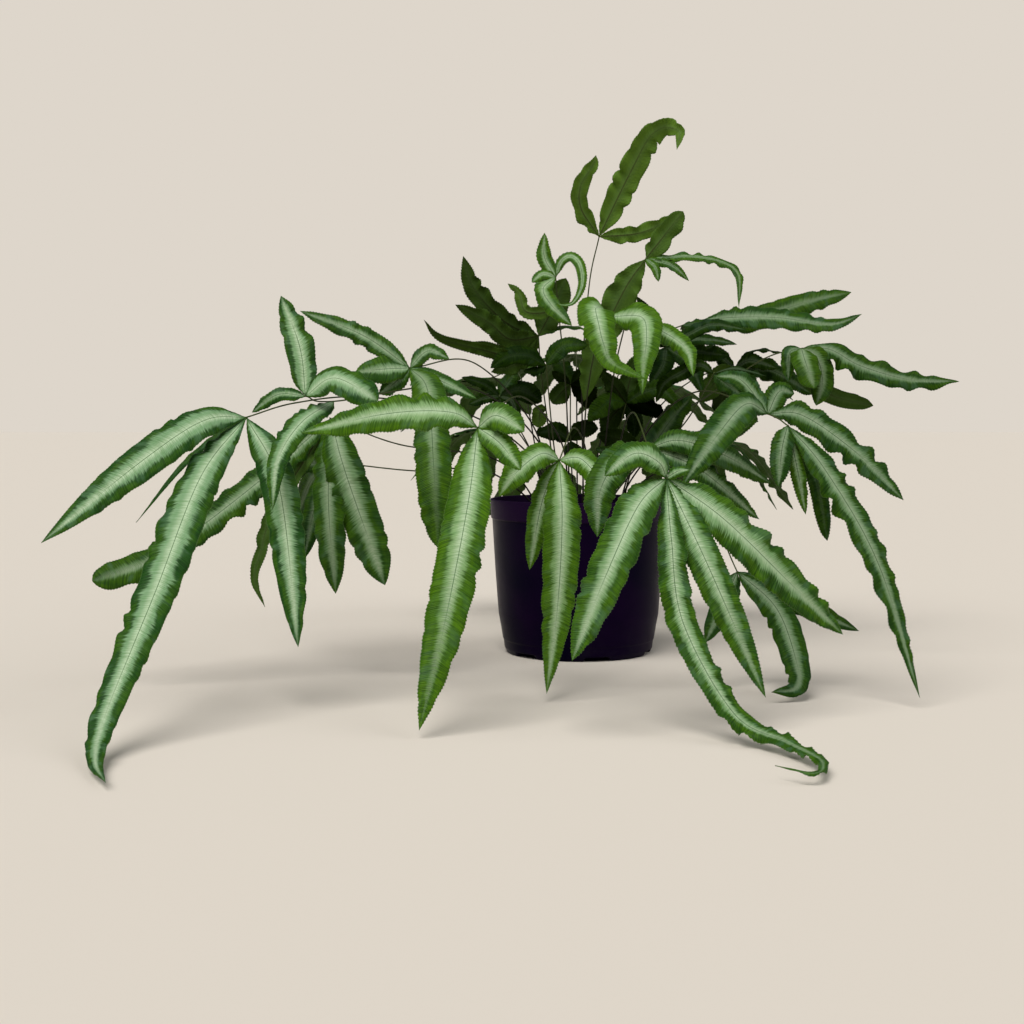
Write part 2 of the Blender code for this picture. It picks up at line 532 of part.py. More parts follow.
def material(name, colour, roughness, metallic=0.0):
    """A plain Principled material."""
    made = bpy.data.materials.new(name)
    made.use_nodes = True
    shader = made.node_tree.nodes["Principled BSDF"]
    shader.inputs["Base Color"].default_value = (*colour, 1)
    shader.inputs["Roughness"].default_value = roughness
    shader.inputs["Metallic"].default_value = metallic
    return made


def add_object(name, mesh, collection, location=(0, 0, 0)):
    """A new object of this mesh in the collection."""
    made = bpy.data.objects.new(name, mesh)
    made.location = location
    collection.objects.link(made)
    return made


def turned(name, profile, collection):
    """A solid of revolution: the profile in the XZ plane, swept around Z by a Screw modifier."""
    mesh = bpy.data.meshes.new(name)
    edges = [(index, index + 1) for index in range(len(profile) - 1)]
    mesh.from_pydata([(radius, 0, height) for radius, height in profile], edges, [])
    made = add_object(name, mesh, collection)
    screw = made.modifiers.new("Turn", "SCREW")
    screw.axis = "Z"
    screw.steps = TURN_STEPS
    screw.render_steps = TURN_STEPS
    screw.use_merge_vertices = True
    screw.merge_threshold = 0.0001
    screw.use_smooth_shade = True
    return made


def cut(target, cutters, name):
    """Subtracts every object of a collection from the target."""
    boolean = target.modifiers.new(name, "BOOLEAN")
    boolean.operation = "DIFFERENCE"
    boolean.operand_type = "COLLECTION"
    boolean.collection = cutters


def upright_cutter(name, radius, low, high, place, sides, collection):
    """A vertical cylinder that cuts a hole from low to high at this place."""
    bm = bmesh.new()
    bmesh.ops.create_cone(bm, cap_ends=True, segments=sides, radius1=radius, radius2=radius,
                          depth=high - low)
    mesh = bpy.data.meshes.new(name)
    bm.to_mesh(mesh)
    bm.free()
    made = add_object(name, mesh, collection, (place[0], place[1], (low + high) / 2))
    made.hide_render = True
    made.display_type = "WIRE"
    return made


def build_pot(collection, cutters):
    """A thin-walled pot with a rim band, a ledge above the foot, drain holes and notches in its foot."""
    band_foot = POT_HEIGHT - RIM_BAND
    outer = [(RIM_RADIUS, POT_HEIGHT - 0.0008), (RIM_RADIUS - 0.0006, band_foot),
             (RIM_RADIUS - RIM_STEP, band_foot - 0.0006)]
    outer += [(radius, height) for height, radius in WALL_PROFILE]
    outer += [(FOOT_RADIUS, 0.0), (0.0, 0.0)]
    inner = [(0.0, FLOOR_THICKNESS), (WALL_PROFILE[-1][1] - WALL, FLOOR_THICKNESS)]
    inner += [(radius - WALL, height) for height, radius in reversed(WALL_PROFILE[:3])]
    inner += [(RIM_RADIUS - RIM_STEP - WALL, band_foot), (RIM_RADIUS - WALL, POT_HEIGHT)]
    pot = turned("pot", inner + [(RIM_RADIUS - 0.0006, POT_HEIGHT)] + outer, collection)
    pot.data.materials.append(material("pot plastic", (0.018, 0.011, 0.030), 0.34))

    for index in range(DRAIN_HOLES):
        angle = math.tau * (index + 0.5) / DRAIN_HOLES
        place = (DRAIN_CIRCLE * math.cos(angle), DRAIN_CIRCLE * math.sin(angle))
        upright_cutter("drain_hole_%d" % (index + 1), DRAIN_RADIUS, -0.002, FLOOR_THICKNESS + 0.002,
                       place, 10, cutters)
    for index in range(FOOT_NOTCHES):
        angle = NOTCH_AZIMUTH + math.tau * index / FOOT_NOTCHES
        bpy.ops.mesh.primitive_cube_add(size=1)
        notch = bpy.context.object
        notch.name = "foot_notch_%d" % (index + 1)
        notch.data.transform(notch.matrix_world.inverted())
        for vertex in notch.data.vertices:
            vertex.co.x *= NOTCH_DEPTH * 2
            vertex.co.y *= NOTCH_WIDTH
            vertex.co.z *= NOTCH_HEIGHT * 2
        reach = WALL_PROFILE[-1][1]
        notch.location = (reach * math.cos(angle), reach * math.sin(angle), 0)
        notch.rotation_euler = (0, 0, angle)
        notch.hide_render = True
        notch.display_type = "WIRE"
        for owner in notch.users_collection:
            owner.objects.unlink(notch)
        cutters.objects.link(notch)
    cut(pot, cutters, "Drain holes and notches")
    return pot


def build_soil(collection, cutters, roots):
    """The filling of potting soil, slightly domed, with a plain hole for every stalk."""
    def inner_radius(height):
        heights = [FLOOR_THICKNESS] + [point[0] for point in reversed(WALL_PROFILE[:3])]
        radii = [WALL_PROFILE[-1][1]] + [point[1] for point in reversed(WALL_PROFILE[:3])]
        heights.append(POT_HEIGHT - RIM_BAND)
        radii.append(RIM_RADIUS - RIM_STEP)
        return float(np.interp(height, heights, radii)) - WALL - GAP * 1.3

    low = FLOOR_THICKNESS + GAP
    brim = POT_HEIGHT - RIM_BAND - 0.002
    profile = [(0.0, SOIL_TOP), (0.022, SOIL_TOP - 0.0004), (0.044, SOIL_TOP - SOIL_DOME * 0.4),
               (inner_radius(brim), brim)]
    profile += [(inner_radius(height), height) for height, _ in WALL_PROFILE[:3]]
    profile += [(inner_radius(low), low), (0.0, low)]
    soil = turned("potting_soil", profile, collection)
    soil.data.materials.append(material("potting soil", (0.030, 0.019, 0.012), 0.95))
    for index, (x, y) in enumerate(roots):
        upright_cutter("root_hole_%02d" % (index + 1), HOLE_RADIUS, SOIL_TOP - ROOT_DEPTH - GAP,
                       SOIL_TOP + 0.004, (x * CM, y * CM), 6, cutters)
    cut(soil, cutters, "Root holes")
    return soil


def build_stalk(name, stalk, origin, collection):
    """The frond's stalk as a closed tube along its polyline, made a mesh for the union."""
    line = stalk_line(stalk) * CM - origin
    curve = bpy.data.curves.new(name, "CURVE")
    curve.dimensions = "3D"
    curve.bevel_depth = STALK_RADIUS
    curve.bevel_resolution = 0
    curve.use_fill_caps = True
    spline = curve.splines.new("POLY")
    spline.points.add(len(line) - 1)
    for point, place in zip(spline.points, line):
        point.co = (*place, 1)
    guide = add_object(name + "_guide", curve, collection)
    bpy.context.view_layer.update()
    evaluated = guide.evaluated_get(bpy.context.evaluated_depsgraph_get())
    mesh = bpy.data.meshes.new_from_object(evaluated)
    bpy.data.objects.remove(guide)
    bm = bmesh.new()
    bm.from_mesh(mesh)
    bmesh.ops.remove_doubles(bm, verts=bm.verts, dist=0.00001)
    bmesh.ops.recalc_face_normals(bm, faces=bm.faces)
    bm.to_mesh(mesh)
    bm.free()
    return add_object(name, mesh, collection, tuple(origin))


def build_frond(name, stalk, leaves, green, collection):
    """One frond: its stalk and its leaflets, fused into one body that stands on its root's place."""
    x, y = stalk[0]
    origin = np.array([x * CM, y * CM, SOIL_TOP])
    frond = build_stalk(name, stalk, origin, collection)
    nodes = stalk_nodes(stalk)[::-1]
    blades = bpy.data.collections.new(name + "_blades")
    bpy.context.scene.collection.children.link(blades)
    for index, leaflet in enumerate(leaves):
        blade_name = "%s_leaflet_%d" % (name, index + 1)
        mesh = leaflet_mesh(blade_name, nodes[leaflet["node"]], leaflet, origin)
        add_object(blade_name, mesh, blades, tuple(origin))
    union = frond.modifiers.new("Grown together", "BOOLEAN")
    union.operation = "UNION"
    union.operand_type = "COLLECTION"
    union.collection = blades
    union.solver = "MANIFOLD"
    bpy.context.view_layer.update()
    evaluated = frond.evaluated_get(bpy.context.evaluated_depsgraph_get())
    fused = bpy.data.meshes.new_from_object(evaluated)
    frond.modifiers.remove(union)
    frond.data = fused
    for blade in list(blades.objects):
        bpy.data.objects.remove(blade)
    bpy.data.collections.remove(blades)
    fused.materials.clear()
    fused.materials.append(green)
    return frond


for item in list(bpy.data.objects):
    bpy.data.objects.remove(item)

fern = bpy.data.collections.new("potted silver ribbon fern")
pot_cutters = bpy.data.collections.new("pot cutters")
soil_cutters = bpy.data.collections.new("soil cutters")
for made_collection in (fern, pot_cutters, soil_cutters):
    bpy.context.scene.collection.children.link(made_collection)

draws = np.random.default_rng(FAR_SEED)
all_fronds = FRONDS + [far_frond(*values, draws) for values in FAR_FRONDS]

build_pot(fern, pot_cutters)
build_soil(fern, soil_cutters, [stalk[0] for stalk, _ in all_fronds])
leaf_green = material("fern leaf", (0.16, 0.33, 0.11), 0.42)
for number, (frond_stalk, frond_leaves) in enumerate(all_fronds, start=1):
    build_frond("frond_%02d" % number, frond_stalk, frond_leaves, leaf_green, fern)
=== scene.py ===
"""Silver ribbon fern in its nursery pot: the looks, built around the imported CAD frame.

Everything is in metres in the CAD's own frame, except in the fronds: their points and widths are given
in millimetres, and the functions that grow them work in centimetres. The viewer's side is -Y.
"""

import math

import bmesh
import bpy
import numpy as np
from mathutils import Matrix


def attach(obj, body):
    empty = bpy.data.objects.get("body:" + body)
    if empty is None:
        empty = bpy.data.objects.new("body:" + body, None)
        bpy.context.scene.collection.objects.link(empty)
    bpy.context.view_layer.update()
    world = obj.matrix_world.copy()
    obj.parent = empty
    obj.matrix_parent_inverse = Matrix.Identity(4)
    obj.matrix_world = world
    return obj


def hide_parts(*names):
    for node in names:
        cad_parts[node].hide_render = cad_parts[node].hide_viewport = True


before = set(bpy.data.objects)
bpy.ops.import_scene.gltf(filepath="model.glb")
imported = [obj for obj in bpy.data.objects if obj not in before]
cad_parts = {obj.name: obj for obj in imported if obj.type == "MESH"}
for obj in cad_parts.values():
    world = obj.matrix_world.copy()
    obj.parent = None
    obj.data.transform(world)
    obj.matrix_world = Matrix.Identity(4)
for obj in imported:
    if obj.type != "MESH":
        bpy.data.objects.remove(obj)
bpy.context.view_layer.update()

CM = 0.01
MM_PER_CM = 10


# Short names for the shader nodes that the materials are made of. They are added to the canvas, which
# is the node tree at work.
canvas = None


def put(made, inputs):
    """Links a node's inputs to the sockets given for them, or sets them to the values given."""
    for name, value in inputs.items():
        if isinstance(value, bpy.types.NodeSocket):
            canvas.links.new(value, made.inputs[name])
        else:
            made.inputs[name].default_value = value


def node(kind, inputs=None, **settings):
    """Adds a shader node with its settings and its inputs."""
    made = canvas.nodes.new("ShaderNode" + kind)
    for name, value in settings.items():
        setattr(made, name, value)
    put(made, inputs or {})
    return made


def new_material(name):
    """A material, whose node tree becomes the canvas, and its Principled shader."""
    global canvas
    made = bpy.data.materials.new(name)
    made.use_nodes = True
    canvas = made.node_tree
    return made, canvas.nodes["Principled BSDF"]


def finish(shader, colour, roughness, height, strength, distance):
    """Gives the shader its colour, its roughness and a bump of this height."""
    bump = node("Bump", {"Height": height, "Strength": strength, "Distance": distance})
    put(shader, {"Base Color": colour, "Roughness": roughness, "Normal": bump.outputs[0]})


def maths(operation, *values):
    """The result of one operation on up to three values."""
    return node("Math", dict(enumerate(values)), operation=operation).outputs[0]


def times(first, second):
    """The product of two values."""
    return maths("MULTIPLY", first, second)


def plus(value, factor, offset):
    """A value times a factor plus an offset."""
    return maths("MULTIPLY_ADD", value, factor, offset)


def scaled(value, low, high, to_low=0.0, to_high=1.0, kind="LINEAR"):
    """The value moved from the range low to high to the other range, and held at its ends."""
    ranges = {"Value": value, "From Min": low, "From Max": high, "To Min": to_low, "To Max": to_high}
    return node("MapRange", ranges, interpolation_type=kind).outputs[0]


def between(value, *ranges):
    """The same by a smooth step."""
    return scaled(value, *ranges, kind="SMOOTHSTEP")


def blend(share, first, second):
    """A colour that goes from the first to the second with the share."""
    first, second = [(*value, 1) if isinstance(value, tuple) else value for value in (first, second)]
    return node("MixRGB", {0: share, 1: first, 2: second}).outputs[0]


def ramp(value, stops, kind="LINEAR"):
    """The colour at this value on a ramp through the stops, each a place and a colour."""
    made = node("ValToRGB", {0: value})
    made.color_ramp.interpolation = kind
    ends = made.color_ramp.elements
    ends[0].color, ends[1].position, ends[1].color = (*stops[0][1], 1), stops[-1][0], (*stops[-1][1], 1)
    for at, colour in stops[1:-1]:
        ends.new(at).color = (*colour, 1)
    return made.outputs[0]


def toned(colour, factor):
    """The colour made darker or lighter by the factor."""
    return node("VectorMath", {0: colour, "Scale": factor}, operation="SCALE").outputs[0]


def grain(place, scale, detail, roughness=0.5):
    """Noise between 0 and 1 around 0.5."""
    inputs = {"Vector": place, "Scale": scale, "Detail": detail, "Roughness": roughness}
    return node("TexNoise", inputs).outputs["Fac"]


def object_place():
    """The place on the object, in metres."""
    return node("TexCoord").outputs["Object"]


def parts(vector):
    """The three parts of a vector."""
    return node("SeparateXYZ", {0: vector}).outputs[:]


# The studio: a pale floor that runs on to the horizon, and a pale sky of the same colour behind it.
# The camera stands where the pot's rim and foot open as they do in the photo.
BACKDROP = (0.73, 0.672, 0.597)
FLOOR_REACH = 14.0
FLOOR_PALER = 1.04
FLOOR_ROUGHNESS = 0.9
SKY_LIGHT = (0.98, 0.99, 0.98)
SKY_STRENGTH = 0.16
CAMERA_PLACE = (-0.049, -1.1575, 0.175)
CAMERA_PITCH = math.radians(-3.56)
CAMERA_VIEW = math.radians(36)


def placed(name, data):
    """A new object of the scene with this name and data."""
    made = bpy.data.objects.new(name, data)
    bpy.context.scene.collection.objects.link(made)
    return made


camera_data = bpy.data.cameras.new("camera")
camera_data.sensor_width = 36
camera_data.lens = camera_data.sensor_width / 2 / math.tan(CAMERA_VIEW / 2)
camera = placed("camera", camera_data)
camera.location = CAMERA_PLACE
camera.rotation_euler = (math.pi / 2 + CAMERA_PITCH, 0, 0)
bpy.context.scene.camera = camera
bpy.context.scene.view_settings.view_transform = "Standard"


def sun(name, towards, strength, softness, colour):
    """A distant lamp that shines from the given direction; softness is its apparent size in degrees."""
    lamp = bpy.data.lights.new(name, "SUN")
    lamp.energy = strength
    lamp.angle = math.radians(softness)
    lamp.color = colour
    x, y, z = towards
    placed(name, lamp).rotation_euler = (math.atan2(math.hypot(x, y), z), 0, math.atan2(y, x) + math.pi / 2)


sun("key light", (-0.35, -0.55, 1.0), 2.45, 45, (1.0, 0.98, 0.95))
sun("side light", (0.9, -0.25, 0.75), 0.7, 50, (0.97, 0.98, 0.99))
sun("front light", (0.0, -1.0, 0.3), 0.25, 60, (1.0, 1.0, 1.0))

world = bpy.data.worlds.new("studio")
world.use_nodes = True
bpy.context.scene.world = world
canvas = world.node_tree
canvas.nodes.clear()
seen = node("Background", {"Color": (*BACKDROP, 1), "Strength": 1.0})
lit = node("Background", {"Color": (*SKY_LIGHT, 1), "Strength": SKY_STRENGTH})
path = node("LightPath")
both = node("MixShader", {0: path.outputs["Is Camera Ray"], 1: lit.outputs[0], 2: seen.outputs[0]})
node("OutputWorld", {"Surface": both.outputs[0]})

floor_mesh = bpy.data.meshes.new("studio_floor")
corners = [(x * FLOOR_REACH, y * FLOOR_REACH, 0) for x, y in ((-1, -1), (1, -1), (1, 1), (-1, 1))]
floor_mesh.from_pydata(corners, [], [(0, 1, 2, 3)])
floor = placed("studio_floor", floor_mesh)
floor_finish, floor_shader = new_material("pale floor")
put(floor_shader, {"Base Color": (*[value * FLOOR_PALER for value in BACKDROP], 1),
                   "Roughness": FLOOR_ROUGHNESS, "Specular IOR Level": 0.0})
floor_mesh.materials.append(floor_finish)


# The pot: one thin-walled piece of moulded plastic, nearly black, with a rim band to lift it by, a
# fine ledge above the foot, drain holes, and notches that let water run out from under it. Its sizes
# are those of the solid that it stands for.
POT_HEIGHT = 0.113
RIM_RADIUS = 0.065
BAND_FOOT = 0.099
BAND_DRAFT = 0.0006
BAND_STEP = 0.0015
BAND_LEDGE = 0.0004
WALL = 0.0018
POT_FLOOR = 0.005
FOOT_RADIUS = 0.0525
WALL_LINE = [(0.0612, 0.06), (0.0589, 0.029), (0.0571, 0.019), (0.0557, 0.0105), (0.0551, 0.0095),
             (0.0545, 0.004)]
FLOOR_RADIUS = WALL_LINE[-1][0] - WALL
POT_TURN = 216
CORNER_RADIUS = 0.0007
NOTCHES = 6
NOTCH_AZIMUTH = math.radians(-77.5)
NOTCH_WIDTH = 0.019
NOTCH_HEIGHT = 0.003
NOTCH_SLOPE = 0.0012
NOTCH_REACH = 0.0475
DRAIN_HOLES = 6
DRAIN_CIRCLE = 0.036
DRAIN_RADIUS = 0.004
PURPLE_BLACK = (0.0018, 0.0012, 0.0088)
PURPLE = (0.0065, 0.0016, 0.015)
BAND_PURPLE = (0.012, 0.004, 0.022)
DUST = (0.095, 0.085, 0.1)
PURPLE_SHINE = (0.55, 0.4, 1.0)


def rounded(profile, radius, steps=3):
    """The profile with each corner replaced by a short curve: at most the radius, and at most 0.45 of
    either side, is cut off, and the points between lie on the parabola that touches both sides."""
    given = np.array(profile, float)
    share = np.linspace(0, 1, steps + 1)[:, None]
    rows = [given[:1]]
    for before, corner, after in zip(given[:-2], given[1:-1], given[2:]):
        back, on = before - corner, after - corner
        back_length, on_length = np.linalg.norm(back), np.linalg.norm(on)
        start = corner + back / back_length * min(radius, 0.45 * back_length)
        end = corner + on / on_length * min(radius, 0.45 * on_length)
        rows.append(start * (1 - share) ** 2 + 2 * corner * share * (1 - share) + end * share ** 2)
    rows.append(given[-1:])
    return np.vstack(rows)


def surface(name, points, quads, smooth=True):
    """A mesh of these points and of faces with equally many sides, as an object at the origin."""
    mesh = bpy.data.meshes.new(name)
    mesh.vertices.add(len(points))
    mesh.vertices.foreach_set("co", np.ascontiguousarray(points, np.float32).ravel())
    mesh.loops.add(quads.size)
    mesh.loops.foreach_set("vertex_index", np.ascontiguousarray(quads, np.int32).ravel())
    mesh.polygons.add(len(quads))
    mesh.polygons.foreach_set("loop_start", np.arange(len(quads), dtype=np.int32) * quads.shape[1])
    mesh.polygons.foreach_set("use_smooth", np.broadcast_to(smooth, len(quads)).astype(bool))
    mesh.update(calc_edges=True)
    mesh.validate()
    return placed(name, mesh)


def carry(made, name, values, kind="FLOAT", field="value"):
    """Stores on the object's mesh, under this name, a value for each of its points."""
    layer = made.data.attributes.new(name, kind, "POINT")
    layer.data.foreach_set(field, np.ravel(values).astype(np.float32))


def turned_grid(profile, steps):
    """Points and faces of a solid of revolution: a point at radius r and height z of the profile
    goes to (r cos a, r sin a, z) for every angle a, and the last angle joins the first."""
    angle = np.arange(steps) * math.tau / steps
    radius, height = profile[:, 0, None], profile[:, 1, None]
    points = np.stack([radius * np.cos(angle), radius * np.sin(angle), height + 0 * angle], -1)
    number = np.arange(len(profile) * steps).reshape(len(profile), steps)
    follow = np.roll(number, -1, 1)
    quads = np.stack([number[:-1], number[1:], follow[1:], follow[:-1]], -1).reshape(-1, 4)
    return points, quads


def closed_at_poles(made):
    """Merges the points that meet on the axis and turns every face outwards."""
    shell = bmesh.new()
    shell.from_mesh(made.data)
    bmesh.ops.remove_doubles(shell, verts=shell.verts, dist=1e-6)
    bmesh.ops.recalc_face_normals(shell, faces=shell.faces)
    shell.to_mesh(made.data)
    shell.free()


def pot_material():
    """Dark plastic: a slow drift between purple and blue black, a dull bloom of dust and lime low on
    the wall, hair-fine scuffs, and a roughness that follows them."""
    made, shader = new_material("dark plastic")
    place = object_place()
    height = parts(place)[2]
    drift = scaled(grain(place, 22.0, 3.0), 0.35, 0.65)
    # The rim band is coloured a lighter purple than the wall.
    on_band = scaled(height, BAND_FOOT - 0.0008, BAND_FOOT)
    plastic = blend(on_band, blend(drift, PURPLE_BLACK, PURPLE), BAND_PURPLE)
    drawn = node("Mapping", {"Vector": place, "Scale": (260.0, 260.0, 38.0), "Rotation": (0.25, 0.12, 0.0)})
    scuffs = scaled(grain(drawn.outputs[0], 1.0, 5.0, 0.7), 0.68, 0.84)
    grime = grain(place, 60.0, 6.0, 0.65)
    low = scaled(height, 0.03, 0.0, 0.0, 0.55)
    worn = maths("MAXIMUM", times(low, scaled(grime, 0.48, 0.75)), scuffs)
    colour = blend(times(worn, 0.14), plastic, DUST)
    roughness = plus(worn, 0.25, scaled(grime, 0.3, 0.7, 0.3, 0.44))
    finish(shader, colour, roughness, grain(place, 900.0, 2.0), 0.08, 0.0003)
    put(shader, {"IOR": 1.12, "Specular Tint": (*PURPLE_SHINE, 1)})
    return made


outer = [(RIM_RADIUS, POT_HEIGHT), (RIM_RADIUS - BAND_DRAFT, BAND_FOOT),
         (RIM_RADIUS - BAND_STEP, BAND_FOOT - BAND_LEDGE)]
outer += WALL_LINE + [(FOOT_RADIUS, 0.0), (NOTCH_REACH + 0.0002, 0.0), (NOTCH_REACH, 0.0)]
inner = [(FLOOR_RADIUS, POT_FLOOR)] + [(radius - WALL, height) for radius, height in WALL_LINE[2::-1]]
inner += [(RIM_RADIUS - BAND_STEP - WALL, BAND_FOOT), (RIM_RADIUS - WALL, POT_HEIGHT)]
pot_profile = np.vstack([[(0.0, POT_FLOOR)], rounded(inner + outer, CORNER_RADIUS), [(0.0, 0.0)]])
points, quads = turned_grid(pot_profile, POT_TURN)
azimuth = np.arctan2(points[..., 1], points[..., 0])
from_notch = (azimuth - NOTCH_AZIMUTH + math.pi / NOTCHES) % (math.tau / NOTCHES) - math.pi / NOTCHES
inside = np.clip((NOTCH_WIDTH / 2 - abs(from_notch) * FOOT_RADIUS) / NOTCH_SLOPE + 0.5, 0, 1)
foot = (points[..., 2] < NOTCH_HEIGHT) & (np.hypot(points[..., 0], points[..., 1]) > NOTCH_REACH + 0.0001)
points[..., 2] = np.maximum(points[..., 2], NOTCH_HEIGHT * inside * foot)
pot = surface("nursery_pot", points.reshape(-1, 3), quads)
closed_at_poles(pot)
drains = bmesh.new()
for step in range(DRAIN_HOLES):
    turn = math.tau * (step + 0.5) / DRAIN_HOLES
    drain = bmesh.ops.create_cone(drains, cap_ends=True, segments=32, radius1=DRAIN_RADIUS,
                                  radius2=DRAIN_RADIUS, depth=0.02)
    bmesh.ops.translate(drains, verts=drain["verts"],
                        vec=(DRAIN_CIRCLE * math.cos(turn), DRAIN_CIRCLE * math.sin(turn), 0))
drain_mesh = bpy.data.meshes.new("drains")
drains.to_mesh(drain_mesh)
drains.free()
drain_cutter = placed("drains", drain_mesh)
holes = pot.modifiers.new("Drain holes", "BOOLEAN")
holes.operation = "DIFFERENCE"
holes.object = drain_cutter
bpy.context.view_layer.update()
pot.data = bpy.data.meshes.new_from_object(pot.evaluated_get(bpy.context.evaluated_depsgraph_get()))
pot.modifiers.clear()
bpy.data.objects.remove(drain_cutter)
pot.data.materials.clear()
pot.data.materials.append(pot_material())
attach(pot, "root")
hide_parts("pot")


# The potting soil: a loose dark mix of peat, bark crumbs and a little grit that fills the pot to just
# below its rim band and rises slightly towards the crown. Nothing holds it but the pot.
SOIL_TOP = 0.1
SOIL_EDGE = 0.097
SOIL_RADIUS = 0.0611
SOIL_RINGS = 72
SOIL_TURN = 240
SOIL_ROUGHNESS = 0.0009
SOIL_SEED = 41
CRUMBS = 1100
CRUMB_SIZES = (0.0005, 0.0021)
CRUMB_STRETCH = (0.45, 1.25)
SOIL_BROWNS = [(0.0, (0.006, 0.004, 0.0028)), (0.45, (0.014, 0.009, 0.006)),
               (0.8, (0.03, 0.018, 0.01)), (1.0, (0.06, 0.036, 0.02))]
CRUMB_BROWNS = [(0.0, (0.01, 0.0065, 0.0045)), (0.35, (0.022, 0.013, 0.008)),
                (0.62, (0.045, 0.026, 0.014)), (0.85, (0.085, 0.046, 0.022)),
                (0.96, (0.42, 0.39, 0.33))]

soil_draws = np.random.default_rng(SOIL_SEED)


def uneven(x, y, longest, shortest, waves, draws):
    """A rough height between about -1 and 1: a sum of sine waves that run in drawn directions, with
    lengths from the longest to the shortest and heights that shrink with the square root of length."""
    length = np.geomspace(longest, shortest, waves)
    way = draws.uniform(0, math.tau, waves)
    shift = draws.uniform(0, math.tau, waves)
    total = np.zeros(np.shape(x))
    for each, heading, start in zip(length, way, shift):
        run = (x * math.cos(heading) + y * math.sin(heading)) / each * math.tau + start
        total += math.sqrt(each / longest) * np.sin(run + 0.8 * np.sin(run * 0.37 + start))
    return total / math.sqrt(waves)


def soil_height(radius):
    """A flat dome: its height falls with the square of the radius."""
    return SOIL_TOP - (SOIL_TOP - SOIL_EDGE) * (radius / SOIL_RADIUS) ** 2


def soil_material():
    """Moist peat: near-black brown, mottled by crumbs in several browns, rough all over."""
    made, shader = new_material("potting soil")
    place = object_place()
    cells = node("TexVoronoi", {"Vector": place, "Scale": 420.0, "Randomness": 1.0})
    crumb = node("SeparateColor", {0: cells.outputs["Color"]}).outputs[0]
    damp = grain(place, 45.0, 4.0)
    colour = toned(ramp(crumb, SOIL_BROWNS), scaled(damp, 0.35, 0.65, 0.55, 1.25))
    roughness = scaled(damp, 0.0, 1.0, 0.98, 0.7)
    finish(shader, colour, roughness, grain(place, 1400.0, 3.0), 0.6, 0.0006)
    return made


ring = np.linspace(0, 1, SOIL_RINGS) ** 0.7 * SOIL_RADIUS
soil_side = [(SOIL_RADIUS, SOIL_EDGE - 0.0015), (SOIL_RADIUS - 0.0022, 0.06),
             (FLOOR_RADIUS - 0.0006, POT_FLOOR + 0.0004), (0.0, POT_FLOOR + 0.0004)]
points, quads = turned_grid(np.vstack([np.stack([ring, soil_height(ring)], 1), soil_side]), SOIL_TURN)
rise = SOIL_ROUGHNESS * uneven(points[..., 0], points[..., 1], 0.016, 0.0016, 26, soil_draws)
points[1:SOIL_RINGS - 1, :, 2] += rise[1:SOIL_RINGS - 1]
soil = surface("loose_soil", points.reshape(-1, 3), quads)
closed_at_poles(soil)
soil.data.materials.append(soil_material())
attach(soil, "root")
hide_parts("potting_soil")


def crumb_material():
    """Bark and peat crumbs: each has its own brown, and a few are pale grit."""
    made, shader = new_material("soil crumbs")
    own = node("Attribute", attribute_name="crumb_shade").outputs["Fac"]
    fibre = grain(object_place(), 900.0, 4.0)
    colour = toned(ramp(own, CRUMB_BROWNS, "CONSTANT"), scaled(fibre, 0.0, 1.0, 0.5, 1.4))
    finish(shader, colour, 0.9, fibre, 0.5, 0.0005)
    return made


lump = bmesh.new()
bmesh.ops.create_icosphere(lump, subdivisions=1, radius=1)
lump_points = np.array([vertex.co for vertex in lump.verts])
lump_faces = np.array([[vertex.index for vertex in face.verts] for face in lump.faces])
lump.free()
reach = 0.97 * SOIL_RADIUS * np.sqrt(soil_draws.uniform(0, 1, CRUMBS))
heading = soil_draws.uniform(0, math.tau, CRUMBS)
size = CRUMB_SIZES[0] + (CRUMB_SIZES[1] - CRUMB_SIZES[0]) * soil_draws.uniform(0, 1, CRUMBS) ** 2.5
reach = np.minimum(reach, SOIL_RADIUS - 1.3 * size)
stretch = soil_draws.uniform(*CRUMB_STRETCH, (CRUMBS, 3))
turn = soil_draws.uniform(0, math.tau, CRUMBS)[:, None]
shape = lump_points * (1 + 0.22 * soil_draws.normal(size=(CRUMBS, len(lump_points), 1))) * stretch[:, None]
x = shape[..., 0] * np.cos(turn) - shape[..., 1] * np.sin(turn)
y = shape[..., 0] * np.sin(turn) + shape[..., 1] * np.cos(turn)
points = np.stack([x, y, shape[..., 2] * 0.8], -1) * size[:, None, None]
lie = soil_height(reach) + 0.15 * size
points += np.stack([reach * np.cos(heading), reach * np.sin(heading), lie], -1)[:, None]
faces = (lump_faces + len(lump_points) * np.arange(CRUMBS)[:, None, None]).reshape(-1, 3)
crumbs = surface("soil_crumbs", points.reshape(-1, 3), faces, False)
carry(crumbs, "crumb_shade", np.repeat(soil_draws.uniform(0, 1, CRUMBS), len(lump_points)))
crumbs.data.materials.append(crumb_material())
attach(crumbs, "root")


# The fronds: each is one grown piece, a wiry stalk with ribbon-like leaflets at its end. A leaflet
# has a fine dark midrib, slanting veins that end in a small tooth each, a ruffled margin and a
# silvery band. The stalk stands 20 mm deep in a hole in the soil. Sizes are in centimetres here.
ROOT_DEPTH = 2.0
STALK_RISE = 0.6
STALK_RADII = (0.07, 0.045)
STALK_SIDES = 8
STALK_PITCH = 0.35
STALK_OVERRUN = 0.12
STALK_STEPS = 20
BLADE_STEPS = 32
TOOTH = 0.205
TOOTH_DEPTH = 0.065
ROWS_PER_TOOTH = 4
VEIN_LEAN = 0.38
VEIN_RELIEF = 0.01
COLUMNS = np.array([-1.0, -0.8, -0.48, -0.13, 0.0, 0.13, 0.48, 0.8, 1.0])
BLADE_HALF_THICKNESS = 0.016
MIDRIB_DEPTH = 0.035
MIDRIB_REACH = 0.07
SAG = 0.12
CROWN = 0.08
LONE_ARCH = 0.12
ROLL = math.radians(5)
